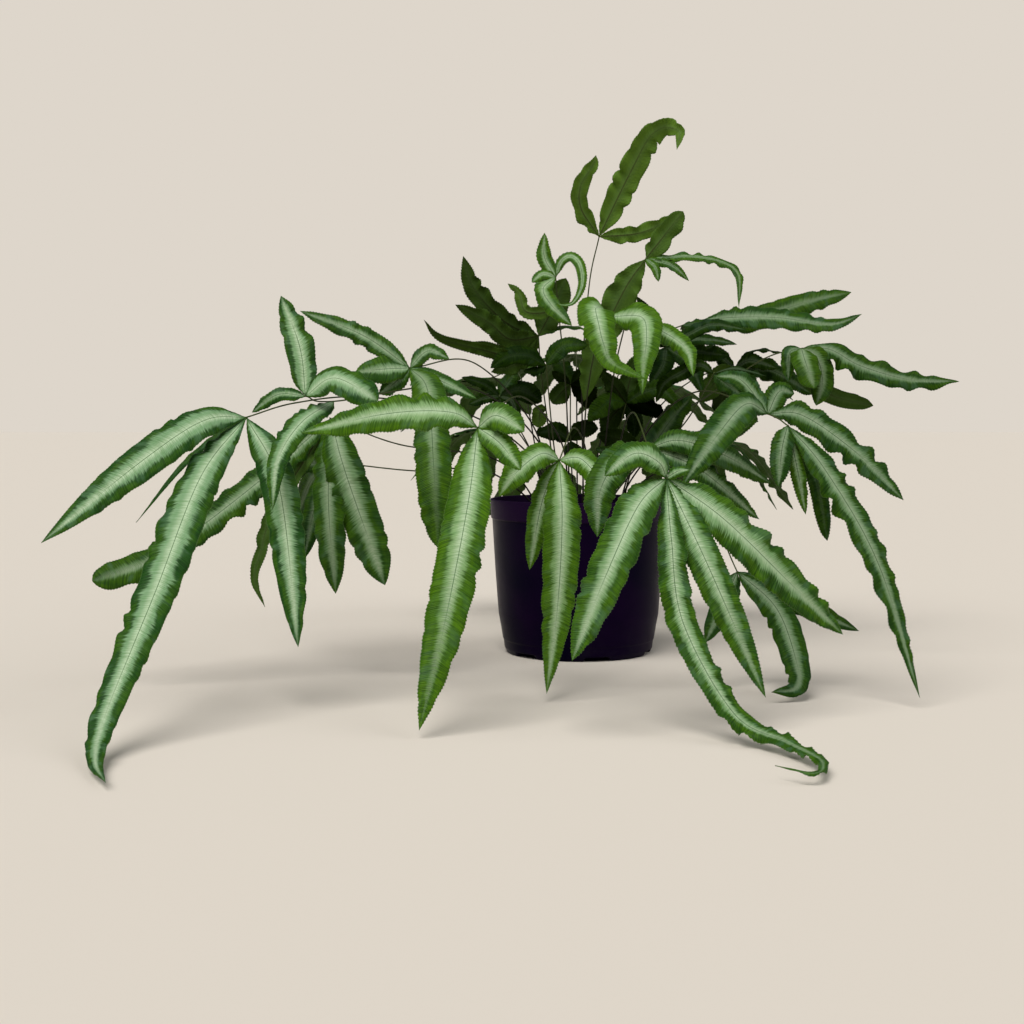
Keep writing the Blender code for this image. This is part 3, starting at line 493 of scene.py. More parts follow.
BASE_SHARE = 0.09
BASE_HALF_WIDTH = 0.05
TIP_HALF_WIDTH = 0.015
RUFFLE_LENGTH = 1.25
RUFFLE = 0.21
RUFFLE_FALL = 2.2
CALM_BASE = 0.06
CALM_TIP = 0.04
LOBE = 0.075
FROND_SEED = 100
FRONT = (0, -1, 0.45)
UP = (0, -0.35, 1)
BACK = (0.1, 1, 0.3)
LOOKS = {"node": 0, "taper": 4.5, "pale": 1.0, "ruffle": 1.0, "fresh": 0.0, "fade": 0.3}


def leaf(points, width, face=FRONT, **own):
    """A leaflet: the points its midrib passes through beyond the stalk, its full width, and the way
    its upper side looks (tipface: at its tip). Its LOOKS: the stalk point it springs from, counted
    back from the end (node), how late it narrows (taper), how silvery it is (pale), how strongly it
    waves (ruffle), how much yellower it is than its frond (fresh), and how much silver its tip has
    lost (fade)."""
    sizes = {"points": np.array(points) / MM_PER_CM, "width": width / MM_PER_CM}
    return {**sizes, "face": face, "tipface": face, **LOOKS, **own}


def catmull_rom(points, steps):
    """Points along a smooth curve through the given points, with this many steps in each span: each
    span is the cubic whose slopes at its ends are half the step between its neighbours."""
    given = np.array(points, float)
    ends = np.vstack([2 * given[0] - given[1], given, 2 * given[-1] - given[-2]])
    u = np.linspace(0, 1, steps + 1)[:-1, None]
    rows = [0.5 * (2 * b + (c - a) * u + (2 * a - 5 * b + 4 * c - d) * u ** 2
                   + (3 * b - a - 3 * c + d) * u ** 3)
            for a, b, c, d in zip(ends[:-3], ends[1:-2], ends[2:-1], ends[3:])]
    return np.vstack(rows + [given[-1:]])


def run_along(path):
    """The distance along the path at each of its points."""
    return np.r_[0, np.cumsum(np.linalg.norm(np.diff(path, axis=0), axis=1))]


def pick(at, run, values):
    """The values, given along the run, at other distances, in an array of any shape."""
    return np.stack([np.interp(at, run, values[:, axis]) for axis in range(values.shape[1])], -1)


def unit(vectors):
    """Each vector divided by its own length."""
    return vectors / np.maximum(np.linalg.norm(vectors, axis=-1, keepdims=True), 1e-9)


def strip_faces(rows, columns, first=0):
    """Four-sided faces between neighbouring rows and columns of a grid whose points are numbered row
    by row from the first."""
    number = first + np.arange(rows * columns).reshape(rows, columns)
    return np.stack([number[:-1, :-1], number[1:, :-1], number[1:, 1:], number[:-1, 1:]], -1).reshape(-1, 4)


def blade(start, leaflet, draws):
    """One leaflet as a thin closed blade on a grid: rows at four to each tooth, slanted towards the
    tip with the veins, and columns from margin to margin. A point at distance a and share c of the
    half width w lies at midrib(a + lean w |c|) + across c w + normal h, where h adds the margin's
    sag (-w c^2), the crown of each half (w sin pi|c|), the ruffle (|c|^2.2 times a wave along a)
    and the fine corrugation of the veins. The underside is the same grid, one thickness lower, and
    thicker at the midrib."""
    points = np.vstack([start, leaflet["points"]])
    if len(points) == 2:
        first, last = points
        arch = LONE_ARCH * np.linalg.norm(last - first)
        points = [first, (first + last) / 2 + np.array([0, 0, arch]), last]
    path = catmull_rom(points, BLADE_STEPS)
    run = run_along(path)
    length = run[-1]
    share = (run / length)[:, None]
    along = unit(np.gradient(path, run, axis=0))
    look = unit(np.array(leaflet["face"], float)) * (1 - share)
    look = look + unit(np.array(leaflet["tipface"], float)) * share
    normal = unit(look - (look * along).sum(1)[:, None] * along)
    side = np.cross(normal, along)
    roll = ROLL * np.sin(share * draws.uniform(4, 7) + draws.uniform(0, math.tau))
    normal, side = normal * np.cos(roll) + side * np.sin(roll), side * np.cos(roll) - normal * np.sin(roll)

    teeth = max(8, round(length / TOOTH))
    count = teeth * ROWS_PER_TOOTH + 1
    arc = np.linspace(0, length, count)
    part = arc / length
    rise = 1 - np.exp(-(part / BASE_SHARE) ** 1.2)
    half = rise * (1 - part ** leaflet["taper"]) * leaflet["width"] / 2
    half = np.maximum(half, BASE_HALF_WIDTH + (TIP_HALF_WIDTH - BASE_HALF_WIDTH) * part)[:, None]
    c = COLUMNS[None]
    share_out = abs(c)
    tooth = (np.arange(count) % ROWS_PER_TOOTH / (ROWS_PER_TOOTH - 1) - 0.5)[:, None]
    bite = TOOTH_DEPTH * leaflet["teeth"] * tooth * (share_out == 1) * np.clip((half - 0.04) / 0.2, 0, 1)
    at = np.minimum(arc[:, None] + VEIN_LEAN * share_out * half, length)
    wave = np.zeros(at.shape)
    lobe = np.zeros(at.shape)
    for sign in (-1, 1):
        wavelength = RUFFLE_LENGTH * (0.55 + 0.25 * leaflet["width"]) * draws.uniform(0.85, 1.25)
        wavelength *= 0.85 + 0.15 * leaflet["ruffle"]
        start_at, drift, swell = draws.uniform(0, math.tau, 3)
        turn = math.tau * at / wavelength + start_at + 1.1 * np.sin(math.tau * at / wavelength / 2.7 + drift)
        strength = 0.6 + 0.4 * np.sin(math.tau * at / wavelength / 3.9 + swell)
        wave += np.where(c * sign > 0, np.sin(turn) * strength, 0)
        lobe += np.where(c * sign > 0, (2 * abs(np.sin(turn / 2 + swell)) - 1.27) * strength, 0)
    calm = np.clip(part / CALM_BASE, 0, 1) * np.clip((1 - part) / CALM_TIP, 0, 1)
    height = -SAG * half * share_out ** 2 + CROWN * half * np.sin(math.pi * share_out)
    height += RUFFLE * leaflet["ruffle"] * half * wave * share_out ** RUFFLE_FALL * calm[:, None]
    half_here = half * (1 + LOBE * leaflet["ruffle"] * lobe * calm[:, None])
    vein = np.cos(np.arange(count) * math.tau / ROWS_PER_TOOTH)[:, None]
    height += VEIN_RELIEF * vein * share_out * np.clip(half / 0.5, 0, 1)
    centre, up, across = pick(at, run, path), unit(pick(at, run, normal)), unit(pick(at, run, side))
    rib = np.exp(-(c * half / MIDRIB_REACH) ** 2)
    top = centre + across * (c * half_here + bite * np.sign(c))[..., None]
    keel = MIDRIB_DEPTH * rib * (1 - 0.8 * part[:, None])
    under = top + up * (height - BLADE_HALF_THICKNESS - keel)[..., None]
    top = top + up * (height + BLADE_HALF_THICKNESS - 0.25 * MIDRIB_DEPTH * rib)[..., None]

    wide = len(COLUMNS)
    lower = count * wide
    above = strip_faces(count, wide)
    below = strip_faces(count, wide, lower)[:, ::-1]
    row = np.arange(count - 1) * wide
    end = row + wide - 1
    right = np.stack([end, end + wide, lower + end + wide, lower + end], -1)
    left = np.stack([row, lower + row, lower + row + wide, row + wide], -1)
    column = np.arange(wide - 1)
    last = (count - 1) * wide + column
    base = np.stack([column, column + 1, lower + column + 1, lower + column], -1)
    tip = np.stack([last + 1, last, lower + last, lower + last + 1], -1)
    faces = np.vstack([above, below, right, left, base, tip])
    smooth = np.r_[np.ones(len(above) + len(below)), np.zeros(len(faces) - len(above) - len(below))]
    vein_number = np.broadcast_to(np.arange(count)[:, None] / ROWS_PER_TOOTH, at.shape)
    out = np.broadcast_to(c, at.shape)
    rows = np.broadcast_to(part[:, None], at.shape)
    facts = np.stack([rows, out * half, np.ones(at.shape)], -1).reshape(-1, 3)
    own = np.tile([draws.uniform(0, 50), leaflet["pale"], leaflet["fresh"]], (2 * lower, 1))
    late = np.clip((np.tile(rows.ravel(), 2) - 0.35) / 0.55, 0, 1)
    own[:, 1] *= 1 - leaflet["fade"] * late ** 2 * (3 - 2 * late)
    return {
        "points": np.vstack([top.reshape(-1, 3), under.reshape(-1, 3)]) * CM,
        "faces": faces,
        "smooth": smooth,
        "uv": np.tile(np.stack([vein_number, out], -1).reshape(-1, 2), (2, 1)),
        "facts": np.vstack([facts, facts * (1, 1, 0)]),
        "own": own,
        "slot": np.zeros(len(faces), int),
    }


def stalk_tube(nodes, draws):
    """The stalk: circles carried along a smooth curve from 20 mm under the soil's surface to just
    past its end, thinner towards the end, with a slightly uneven radius."""
    path = catmull_rom(nodes, STALK_STEPS)
    end = unit(path[-1] - path[-2]) * STALK_OVERRUN
    path = np.vstack([path, path[-1] + end])
    run = run_along(path)
    rows = max(12, round(run[-1] / STALK_PITCH))
    at = np.linspace(0, run[-1], rows)
    centre = pick(at, run, path)
    along = unit(np.gradient(centre, axis=0))
    aside = unit(np.cross(along, (0.3, 1.0, 0.1)))
    ahead = np.cross(along, aside)
    share = at / run[-1]
    radius = STALK_RADII[0] + (STALK_RADII[1] - STALK_RADII[0]) * share ** 0.8
    radius = radius * (1 + 0.05 * np.sin(at * 5.1 + draws.uniform(0, 6)))
    angle = np.arange(STALK_SIDES) * math.tau / STALK_SIDES
    ring = aside[:, None] * np.cos(angle)[:, None] + ahead[:, None] * np.sin(angle)[:, None]
    points = centre[:, None] + ring * radius[:, None, None]
    number = np.arange(rows * STALK_SIDES).reshape(rows, STALK_SIDES)
    follow = np.roll(number, -1, 1)
    walls = np.stack([number[:-1], follow[:-1], follow[1:], number[1:]], -1).reshape(-1, 4)
    faces = [walls]
    half = STALK_SIDES // 2
    for row, turned_over in ((number[0], True), (number[-1], False)):
        fan = np.stack([row[:half - 1], row[1:half], row[::-1][1:half], row[::-1][:half - 1]], -1)
        faces.append(fan[:, ::-1] if turned_over else fan)
    faces = np.vstack(faces)
    total = rows * STALK_SIDES
    return {
        "points": points.reshape(-1, 3) * CM,
        "faces": faces,
        "smooth": np.r_[np.ones(len(walls)), np.zeros(len(faces) - len(walls))],
        "uv": np.stack([np.repeat(at, STALK_SIDES), np.tile(angle / math.tau, rows)], -1),
        "facts": np.stack([np.repeat(share, STALK_SIDES), np.zeros(total), np.zeros(total)], -1),
        "own": np.tile([draws.uniform(0, 50), 0.0, 0.0], (total, 1)),
        "slot": np.ones(len(faces), int),
    }


# The looks of the fronds. Most colours are pairs, the first for a dark blue-green frond and the second
# for a yellow-green one.
SILVER = ((0.215, 0.37, 0.205), (0.265, 0.435, 0.17))
SILVER_HEART = (0.59, 0.74, 0.5)
SILVER_HAIR = (0.095, 0.235, 0.065)
DEEP = ((0.008, 0.038, 0.006), (0.022, 0.072, 0.001))
FRESH = ((0.018, 0.082, 0.008), (0.075, 0.185, 0.002))
# Painted light on the margins: a bluish sheen in patches, and a paler line along the very edge.
PAINTED_SHEEN = (0.075, 0.17, 0.08)
RIM = (0.15, 0.26, 0.08)
MIDRIB = (0.03, 0.1, 0.022)
UNDERSIDE = ((0.034, 0.088, 0.014), (0.095, 0.185, 0.014))
UNDER_HEART = (0.13, 0.22, 0.07)
UNDER_HAIR = (0.028, 0.085, 0.016)
UNDER_MIDRIB = (0.045, 0.04, 0.012)
# Painted shade: the colour that a frond's light value darkens it towards.
PAINTED_SHADE_DARKEST = (0.02, 0.02, 0.01)
STALK_FOOT = (0.008, 0.007, 0.004)
STALK_END = (0.048, 0.07, 0.014)
STALK_STREAK = (0.036, 0.034, 0.012)


def frond_facts():
    """What the frond's mesh carries: tooth number and share of the half width; share of the length,
    distance from the midrib and whether it is the upper side; the leaflet's seed, how silvery it is
    and how yellow."""
    grid = parts(node("UVMap", uv_map="UVMap").outputs[0])
    facts, tone = [parts(node("Attribute", attribute_name=name).outputs["Vector"])
                   for name in ("blade_facts", "leaf_tone")]
    return grid, facts, tone


def grid_noise(grid, fineness, shift, detail=1.0):
    """Noise in the frond's own grid, so many times finer along and across, shifted by a value."""
    scales = [times(side, fine) for side, fine in zip(grid, fineness)]
    place = node("CombineXYZ", {0: scales[0], 1: scales[1], 2: shift}).outputs[0]
    return grain(place, 1.0, detail, 0.6)


def leaf_material():
    """A leaflet: on the upper side a silvery band combed out along the veins, a green margin striped
    by them, with patches of painted bluish sheen and a thin painted highlight along its edge, and a fine
    dark midrib; on the underside a plain duller green with a paler middle. Painted shade darkens each
    frond by its light value, its leaflets unevenly so."""
    made, shader = new_material("fern leaf")
    grid, (along, offset, upper), (seed, pale, tint) = frond_facts()
    out = maths("ABSOLUTE", grid[1])
    off = maths("ABSOLUTE", offset)
    seeded = times(seed, 17.0)
    comb = grid_noise(grid, (3.4, 0.8), seeded)
    tuft = grid_noise(grid, (0.8, 0.8), seeded)
    hair = grid_noise(grid, (7.0, 1.4), seeded)
    broad = grid_noise(grid, (0.15, 1.1), seeded)

    edge = plus(comb, 0.48, plus(tuft, 0.12, plus(broad, 0.4, -0.26)))
    edge = plus(pale, 0.28, plus(along, -0.06, edge))
    band = between(maths("SUBTRACT", edge, out), -0.13, 0.16)
    band = times(band, between(along, 0.86, 1.0, 1.0, 0.25))
    band = times(times(band, between(along, 0.0, 0.05)), pale)
    silver = blend(between(out, 0.4, 0.0, 0.0, 0.9), blend(tint, *SILVER), SILVER_HEART)
    silver = blend(between(hair, 0.38, 0.68, 0.0, 0.6), silver, SILVER_HAIR)

    olive = grid_noise(grid, (0.11, 1.7), times(seed, 9.0))
    warm = plus(between(olive, 0.38, 0.62, -0.25, 0.25), 1.0, tint)
    stripe = plus(comb, 0.55, times(hair, 0.45))
    margin = blend(between(stripe, 0.36, 0.6, 0.12, 0.95), blend(warm, *DEEP), blend(warm, *FRESH))
    # Painted sheen: bluish patches on the margin, fewer on yellow-green fronds.
    sheen = grid_noise(grid, (0.24, 0.7), times(seed, 5.0))
    painted_sheen_share = times(between(sheen, 0.57, 0.68, 0.0, 0.5), between(tint, 0.3, 1.0, 1.0, 0.45))
    margin = blend(painted_sheen_share, margin, PAINTED_SHEEN)
    # Painted highlight: a thin paler line along the very edge.
    margin = blend(between(out, 0.955, 1.0, 0.0, 0.45), margin, RIM)
    face = blend(band, margin, silver)
    line = times(between(off, 0.03, 0.012), between(along, 0.52, 0.8, 0.85, 0.0))
    face = blend(line, face, MIDRIB)

    back = blend(tint, *UNDERSIDE)
    back = blend(times(between(out, 0.55, 0.05), 0.35), back, UNDER_HEART)
    back = blend(between(hair, 0.35, 0.75, 0.0, 0.35), back, UNDER_HAIR)
    line = times(between(off, 0.055, 0.03), between(along, 0.3, 0.8, 0.7, 0.2))
    back = blend(line, back, UNDER_MIDRIB)

    # Painted shade: the frond's light value, varied at random from leaflet to leaflet when below 1, darkens
    # the colour towards near black and lowers the specular.
    lit = node("Attribute", attribute_name="leaf_light").outputs["Fac"]
    uneven_shade = maths("FRACT", times(seed, 7.31))
    lit = plus(plus(uneven_shade, 0.55, -0.19), plus(lit, -1.0, 1.0), lit)
    shade = blend(lit, PAINTED_SHADE_DARKEST, (1.0, 1.0, 1.0))
    shaded = node("VectorMath", {0: blend(upper, back, face), 1: shade}, operation="MULTIPLY")
    roughness = plus(upper, -0.1, plus(hair, 0.16, 0.48))
    ribs = maths("COSINE", times(grid[0], 2 * math.tau))
    finish(shader, shaded.outputs[0], roughness, plus(ribs, 0.3, comb), 0.5, 0.0005)
    put(shader, {"Specular IOR Level": times(lit, 0.13)})
    return made


def stalk_material():
    """A wiry stalk: black-brown at the foot, olive where the leaflets spring from it, with fine
    lengthwise streaks."""
    made, shader = new_material("fern stalk")
    grid, (along, *_), (seed, *_) = frond_facts()
    streak = grid_noise(grid, (0.8, 14.0), times(seed, 11.0), 3.0)
    colour = blend(between(along, 0.35, 1.0), STALK_FOOT, STALK_END)
    colour = blend(between(streak, 0.45, 0.75, 0.0, 0.5), colour, STALK_STREAK)
    finish(shader, colour, plus(streak, 0.3, 0.28), streak, 0.4, 0.0003)
    put(shader, {"Specular IOR Level": 0.2})
    return made


leaf_finish = leaf_material()
stalk_finish = stalk_material()


def grow(number, tint, silver, light, stalk, leaves, ragged=1.0, teeth=1.0):
    """One frond as one mesh, stalk and leaflets, in the place of the solid of its number; tint goes
    from dark blue-green at 0 to yellow-green at 1, light is painted shade, from nearly black at 0 to full
    colour at 1, and silver, ragged and teeth scale the silver, the ruffles and the teeth of all its
    leaflets."""
    draws = np.random.default_rng(FROND_SEED + number)
    leaves = [{**leaflet, "ruffle": leaflet["ruffle"] * ragged, "teeth": teeth} for leaflet in leaves]
    x, y = np.array(stalk[0]) / MM_PER_CM
    top = SOIL_TOP / CM
    nodes = np.vstack([(x, y, top - ROOT_DEPTH), (x, y, top + STALK_RISE), np.array(stalk[1:]) / MM_PER_CM])
    pieces = [stalk_tube(nodes, draws)]
    pieces += [blade(nodes[-1 - leaflet["node"]], leaflet, draws) for leaflet in leaves]
    before = np.cumsum([0] + [len(piece["points"]) for piece in pieces[:-1]])
    faces = np.vstack([piece["faces"] + start for piece, start in zip(pieces, before)])
    every = {key: np.concatenate([piece[key] for piece in pieces])
             for key in ("points", "smooth", "uv", "facts", "own", "slot")}
    made = surface("fern_frond_%02d" % number, every["points"], faces, every["smooth"])
    mesh = made.data
    corner = np.empty(len(mesh.loops), np.int32)
    mesh.loops.foreach_get("vertex_index", corner)
    mesh.uv_layers.new(name="UVMap").data.foreach_set("uv", every["uv"][corner].astype(np.float32).ravel())
    every["own"][:, 1] *= silver
    every["own"][:, 2] += tint
    carry(made, "blade_facts", every["facts"], "FLOAT_VECTOR", "vector")
    carry(made, "leaf_tone", every["own"], "FLOAT_VECTOR", "vector")
    carry(made, "leaf_light", np.full(len(every["points"]), light))
    for finished in (leaf_finish, stalk_finish):
        mesh.materials.append(finished)
    mesh.polygons.foreach_set("material_index", every["slot"].astype(np.int32))
    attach(made, "root")
    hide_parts("frond_%02d" % number)


# The fronds at the left: thin dark stalks that arch out over the rim, with long leaflets that hang to
# the floor or stand level. Each is one grown piece, whose leaflets share the stalk's end.

# Far left, low, one leaflet down to the floor and along it
grow(1, 0.15, 1.15, 1, [(-26, -16), (-36, -30, 145), (-82, -78, 176), (-145, -125, 186), (-186, -158, 182),
        (-210, -200, 173)], [
    leaf([(-232, -220, 171), (-262, -250, 148), (-309, -290, 104)], 25, taper=3.2),
    leaf([(-230, -240, 139), (-244, -300, 78), (-258, -355, 21), (-253, -395, 6), (-237, -438, 5)], 27,
         tipface=(0, -0.6, 1), taper=2.2),
    leaf([(-188, -218, 132), (-174, -243, 39)], 22),
    leaf([(-246, -194, 148), (-278, -200, 109)], 6, pale=0, ruffle=1.6, taper=1.5),
], teeth=0.4)

# Above the first, one leaflet upright
grow(2, 0.3, 1.15, 1, [(-19, -24), (-30, -50, 155), (-80, -100, 193), (-162, -155, 183),
        (-177, -178, 186)], [
    leaf([(-181, -172, 216), (-194, -162, 249)], 18, ruffle=2.3),
    leaf([(-158, -184, 197), (-131, -190, 183)], 22, (0, -0.9, 0.7), taper=7, ruffle=0.5),
    leaf([(-195, -172, 187), (-212, -168, 176)], 9.5, pale=0.6),
    leaf([(-176, -204, 170), (-187, -228, 148), (-189, -238, 119)], 16, node=1),
], teeth=0.6)

# In front, one leaflet level and one down to the floor
grow(3, 0.85, 0.92, 1, [(-9, -30), (-15, -80, 155), (-43, -150, 186), (-69, -230, 167)], [
    leaf([(-85, -240, 176), (-122, -242, 175), (-172, -234, 164)], 24, (0, -1, 0.7), taper=3.6),
    leaf([(-74, -264, 124), (-86, -300, 60), (-99, -318, 5)], 26, fade=0.75),
    leaf([(-58, -240, 174), (-42, -252, 165)], 18),
    leaf([(-56, -244, 158), (-44, -255, 143)], 15),
])

# Behind the third
grow(4, 0.45, 0.8, 0.85, [(-20, -4), (-33, -20, 165), (-75, -70, 210), (-116, -120, 205)], [
    leaf([(-146, -124, 226), (-187, -124, 242)], 14, ruffle=2),
    leaf([(-104, -123, 216), (-90, -126, 211)], 12, (0, -1, 0.7), ruffle=0.5),
    leaf([(-103, -146, 190), (-98, -174, 144), (-95, -182, 92)], 23, taper=9, pale=0.8, fresh=0.3,
         fade=0.8),
    leaf([(-134, -128, 204), (-151, -128, 202)], 19, ruffle=2),
    leaf([(-126, -124, 195), (-136, -125, 188)], 12),
    leaf([(-90, -136, 194), (-72, -140, 185)], 12),
])

# Low, behind the first
grow(18, 0.5, 0.8, 0.78, [(-30, 2), (-60, -26, 142), (-126, -74, 154), (-170, -102, 172)], [
    leaf([(-220, -122, 127), (-276, -150, 84), (-316, -160, 69)], 20, taper=30, ruffle=1.8),
    leaf([(-206, -116, 112), (-215, -120, 84), (-219, -122, 66), (-212, -124, 48)], 10, BACK, ruffle=3),
    leaf([(-170, -120, 116), (-165, -126, 57)], 21, taper=6),
    leaf([(-159, -116, 136), (-133, -120, 62)], 26, taper=7, pale=1.3),
], teeth=0.8)

# Low, further back
grow(19, 0.35, 0.5, 0.35, [(-32, 13), (-70, 2, 134), (-118, -22, 134), (-176, -40, 141)], [
    leaf([(-210, -30, 136), (-244, -30, 110)], 17),
    leaf([(-186, -56, 114), (-194, -62, 74)], 16),
    leaf([(-196, -6, 126), (-212, 26, 94)], 18),
], teeth=0.5)


# The fronds in front: the broadest and brightest leaflets, over the rim and down to the floor, one of
# them trailing round on it. Grown like the others, the silver of the bands at its cleanest.

# Centre, over the rim
grow(5, 1.1, 0.92, 1, [(5, -30), (3, -65, 146), (-8, -115, 166), (-19, -160, 146)], [
    leaf([(-31, -170, 150), (-47, -180, 138), (-57, -180, 124)], 19),
    leaf([(-6, -170, 147), (5, -180, 134), (9, -185, 120)], 16),
    leaf([(-18, -185, 110), (-21, -202, 60), (-28, -212, 6)], 24, taper=3.4),
    leaf([(-30, -168, 120), (-38, -170, 77)], 15),
])

# The largest, one leaflet trails round on the floor
grow(6, 0.52, 1, 0.93, [(12, -31), (15, -80, 132), (22, -150, 140), (29, -210, 143), (38, -270, 139)], [
    leaf([(33, -276, 148), (19, -282, 153), (2, -290, 141)], 17),
    leaf([(21, -290, 125), (2, -312, 89), (-17, -325, 44)], 23, taper=5.5, ruffle=1.2),
    leaf([(39, -290, 106), (44, -305, 62), (69, -328, 16), (92, -358, 7), (102, -396, 6), (94, -424, 6),
          (77, -412, 7)], 19.5, tipface=(0, -0.6, 1), taper=1.8, ruffle=2.6, pale=0.9, fade=0.7),
    leaf([(59, -290, 92), (90, -302, 20)], 21, taper=3.6, fade=0.5),
    leaf([(70, -276, 116), (110, -266, 78), (142, -254, 48)], 25, ruffle=1.3, fade=0.4),
    leaf([(44, -276, 143), (50, -280, 144)], 7),
])

# Between the sixth and the eighth
grow(7, 0.45, 0.85, 0.75, [(22, -20), (27, -60, 158), (30, -130, 176), (34, -200, 154)], [
    leaf([(16, -218, 149), (3, -230, 130), (1, -236, 103)], 21),
    leaf([(52, -204, 159), (80, -199, 150), (112, -178, 132)], 17),
    leaf([(64, -202, 142), (104, -184, 110)], 15),
])


# The fronds at the right: bluer leaflets, darker by their hue and by painted shade, two long level ones
# behind them, and a low frond that lies over the rim. Grown like the others.

# With two pairs of leaflets below its end
grow(8, 0.4, 0.8, 0.58, [(31, -12), (45, -45, 160), (75, -105, 190), (111, -170, 175), (120, -190, 168)], [
    leaf([(95, -186, 181), (74, -222, 164), (50, -244, 134)], 22, node=1),
    leaf([(95, -165, 196), (79, -160, 199)], 13, node=1),
    leaf([(131, -180, 174), (162, -193, 151), (188, -205, 123)], 19, node=1, ruffle=1.8),
    leaf([(119, -164, 189), (129, -161, 188)], 15, node=1),
    leaf([(141, -202, 141), (170, -218, 86), (193, -231, 7)], 19, taper=2.4, ruffle=2),
    leaf([(115, -200, 154), (112, -206, 131)], 14),
    leaf([(125, -196, 142), (130, -199, 114)], 10, fresh=1),
    leaf([(139, -178, 138), (148, -176, 96)], 11, taper=9, pale=0.2),
])

# Half hidden
grow(9, 0.5, 0.35, 0.24, [(29, 5), (46, -6, 138), (74, -30, 168), (91, -60, 203)], [
    leaf([(105, -66, 206), (126, -70, 201)], 12, UP, pale=1.6),
    leaf([(81, -57, 209), (68, -56, 203), (57, -58, 196), (51, -60, 183)], 11, pale=1.2, ruffle=1.8,
         fresh=0.6),
    leaf([(99, -64, 196), (111, -68, 187)], 13),
    leaf([(31, -8, 155), (13, -10, 160)], 18, BACK, node=2),
    leaf([(28, -20, 145), (11, -26, 150)], 14, node=2),
    leaf([(65, -6, 168), (82, -8, 188)], 20, node=2),
    leaf([(79, -10, 152), (103, -16, 165)], 18, node=2, fresh=0.4),
], ragged=1.8)

# With a long twisted leaflet
grow(10, 0.5, 0.75, 0.6, [(22, 20), (48, 20, 156), (95, 10, 188), (134, -8, 215), (159, -20, 222)], [
    leaf([(149, -28, 218), (148, -30, 198)], 11, pale=0.8),
    leaf([(158, -39, 213), (164, -44, 193)], 19, taper=7, fresh=0.6),
    leaf([(168, -30, 215), (172, -32, 198), (167, -36, 181)], 19, fresh=0.4),
    leaf([(178, -26, 221), (200, -30, 209), (234, -36, 199), (267, -40, 198)], 19, (0, -0.8, 0.6),
         ruffle=2.4),
    leaf([(167, -14, 200), (184, -12, 188), (213, -12, 181)], 13, BACK, taper=9),
], teeth=0.5)

# Low, over the rim and down to the floor
grow(17, 0.4, 0.8, 0.55, [(28, -30), (54, -56, 134), (80, -96, 116), (97, -140, 73)], [
    leaf([(119, -160, 52), (127, -186, 24), (125, -205, 9), (108, -213, 7)], 19),
    leaf([(129, -150, 56), (172, -160, 37)], 15),
    leaf([(86, -152, 52), (74, -162, 30)], 15),
], teeth=0.4)

# Behind, leaflets to both sides
grow(25, 0.6, 0.4, 0.22, [(31, 16), (56, 46, 170), (92, 66, 202), (124, 72, 210)], [
    leaf([(152, 70, 209), (184, 66, 190)], 17),
    leaf([(135, 64, 216), (155, 58, 210)], 12, pale=1.6, fresh=0.4),
    leaf([(139, 76, 224), (163, 80, 223)], 7, UP),
    leaf([(109, 66, 222), (96, 60, 223)], 13, fresh=0.3),
    leaf([(111, 64, 203), (96, 60, 184)], 18, BACK, fresh=0.3),
    leaf([(128, 42, 200), (124, 12, 172), (104, -8, 156)], 20),
    leaf([(150, 96, 208), (178, 118, 186)], 18, UP),
    leaf([(120, 96, 199), (116, 116, 172)], 18, (0, 0.6, 1)),
], ragged=1.8)


# The fronds at the top: the tallest, which shows its ruffled undersides, the broad ones that hang to
# the front, and the level ones at the upper right. Grown like the others.

# Upper right, behind, two long level leaflets
grow(11, 0.4, 0.65, 0.65, [(14, 29), (30, 40, 180), (60, 56, 230), (82, 60, 243), (98, 60, 247)], [
    leaf([(126, 56, 249), (157, 52, 248), (186, 45, 243), (200, 40, 244), (214, 35, 250)], 21,
         (0, -0.9, 0.6), taper=3.6, ruffle=0.9),
    leaf([(134, 82, 248), (180, 86, 262), (216, 82, 270)], 21, (0, -0.9, 0.6), taper=8, ruffle=0.8,
         pale=0.8, fresh=0.3),
    leaf([(95, 46, 243), (111, 40, 239)], 11, node=1, pale=0.4),
    leaf([(90, 72, 237), (99, 86, 233)], 12, UP, node=1),
])

# The tallest
grow(12, 1, 0.9, 1, [(4, 8), (3, 12, 200), (8, 14, 270), (15, 10, 305)], [
    leaf([(28, 2, 332), (38.5, -7, 353), (49, -19, 372), (59, -30, 377), (68, -40, 372), (66, -45, 359)],
         19, BACK, taper=4, ruffle=2.1),
    leaf([(1.5, 2, 324), (0.5, -8, 339), (9, -16, 353), (11, -18, 359.5)], 12, BACK, taper=7, ruffle=2.8),
    leaf([(45, 2, 307), (74, 0, 320)], 12, BACK, ruffle=2.2),
], teeth=0.5)

# Behind the fifteenth, with a thin arched leaflet
grow(13, 0.7, 0.55, 0.8, [(15, -10), (24, -16, 200), (38, -26, 260), (46, -30, 285)], [
    leaf([(31, -28, 263), (12, -19, 221), (3, -12, 184)], 23, BACK, ruffle=1.6),
    leaf([(58, -30, 300), (72, -32, 318)], 15, BACK, taper=7, ruffle=2.2),
    leaf([(84, -30, 286), (110, -32, 276), (111, -40, 250)], 9.5, (0, -0.9, 0.9), taper=3, ruffle=1.5),
    leaf([(52, -38, 278), (54, -42, 268)], 7),
    leaf([(64, -34, 280), (76, -36, 269)], 7),
], teeth=0.5)

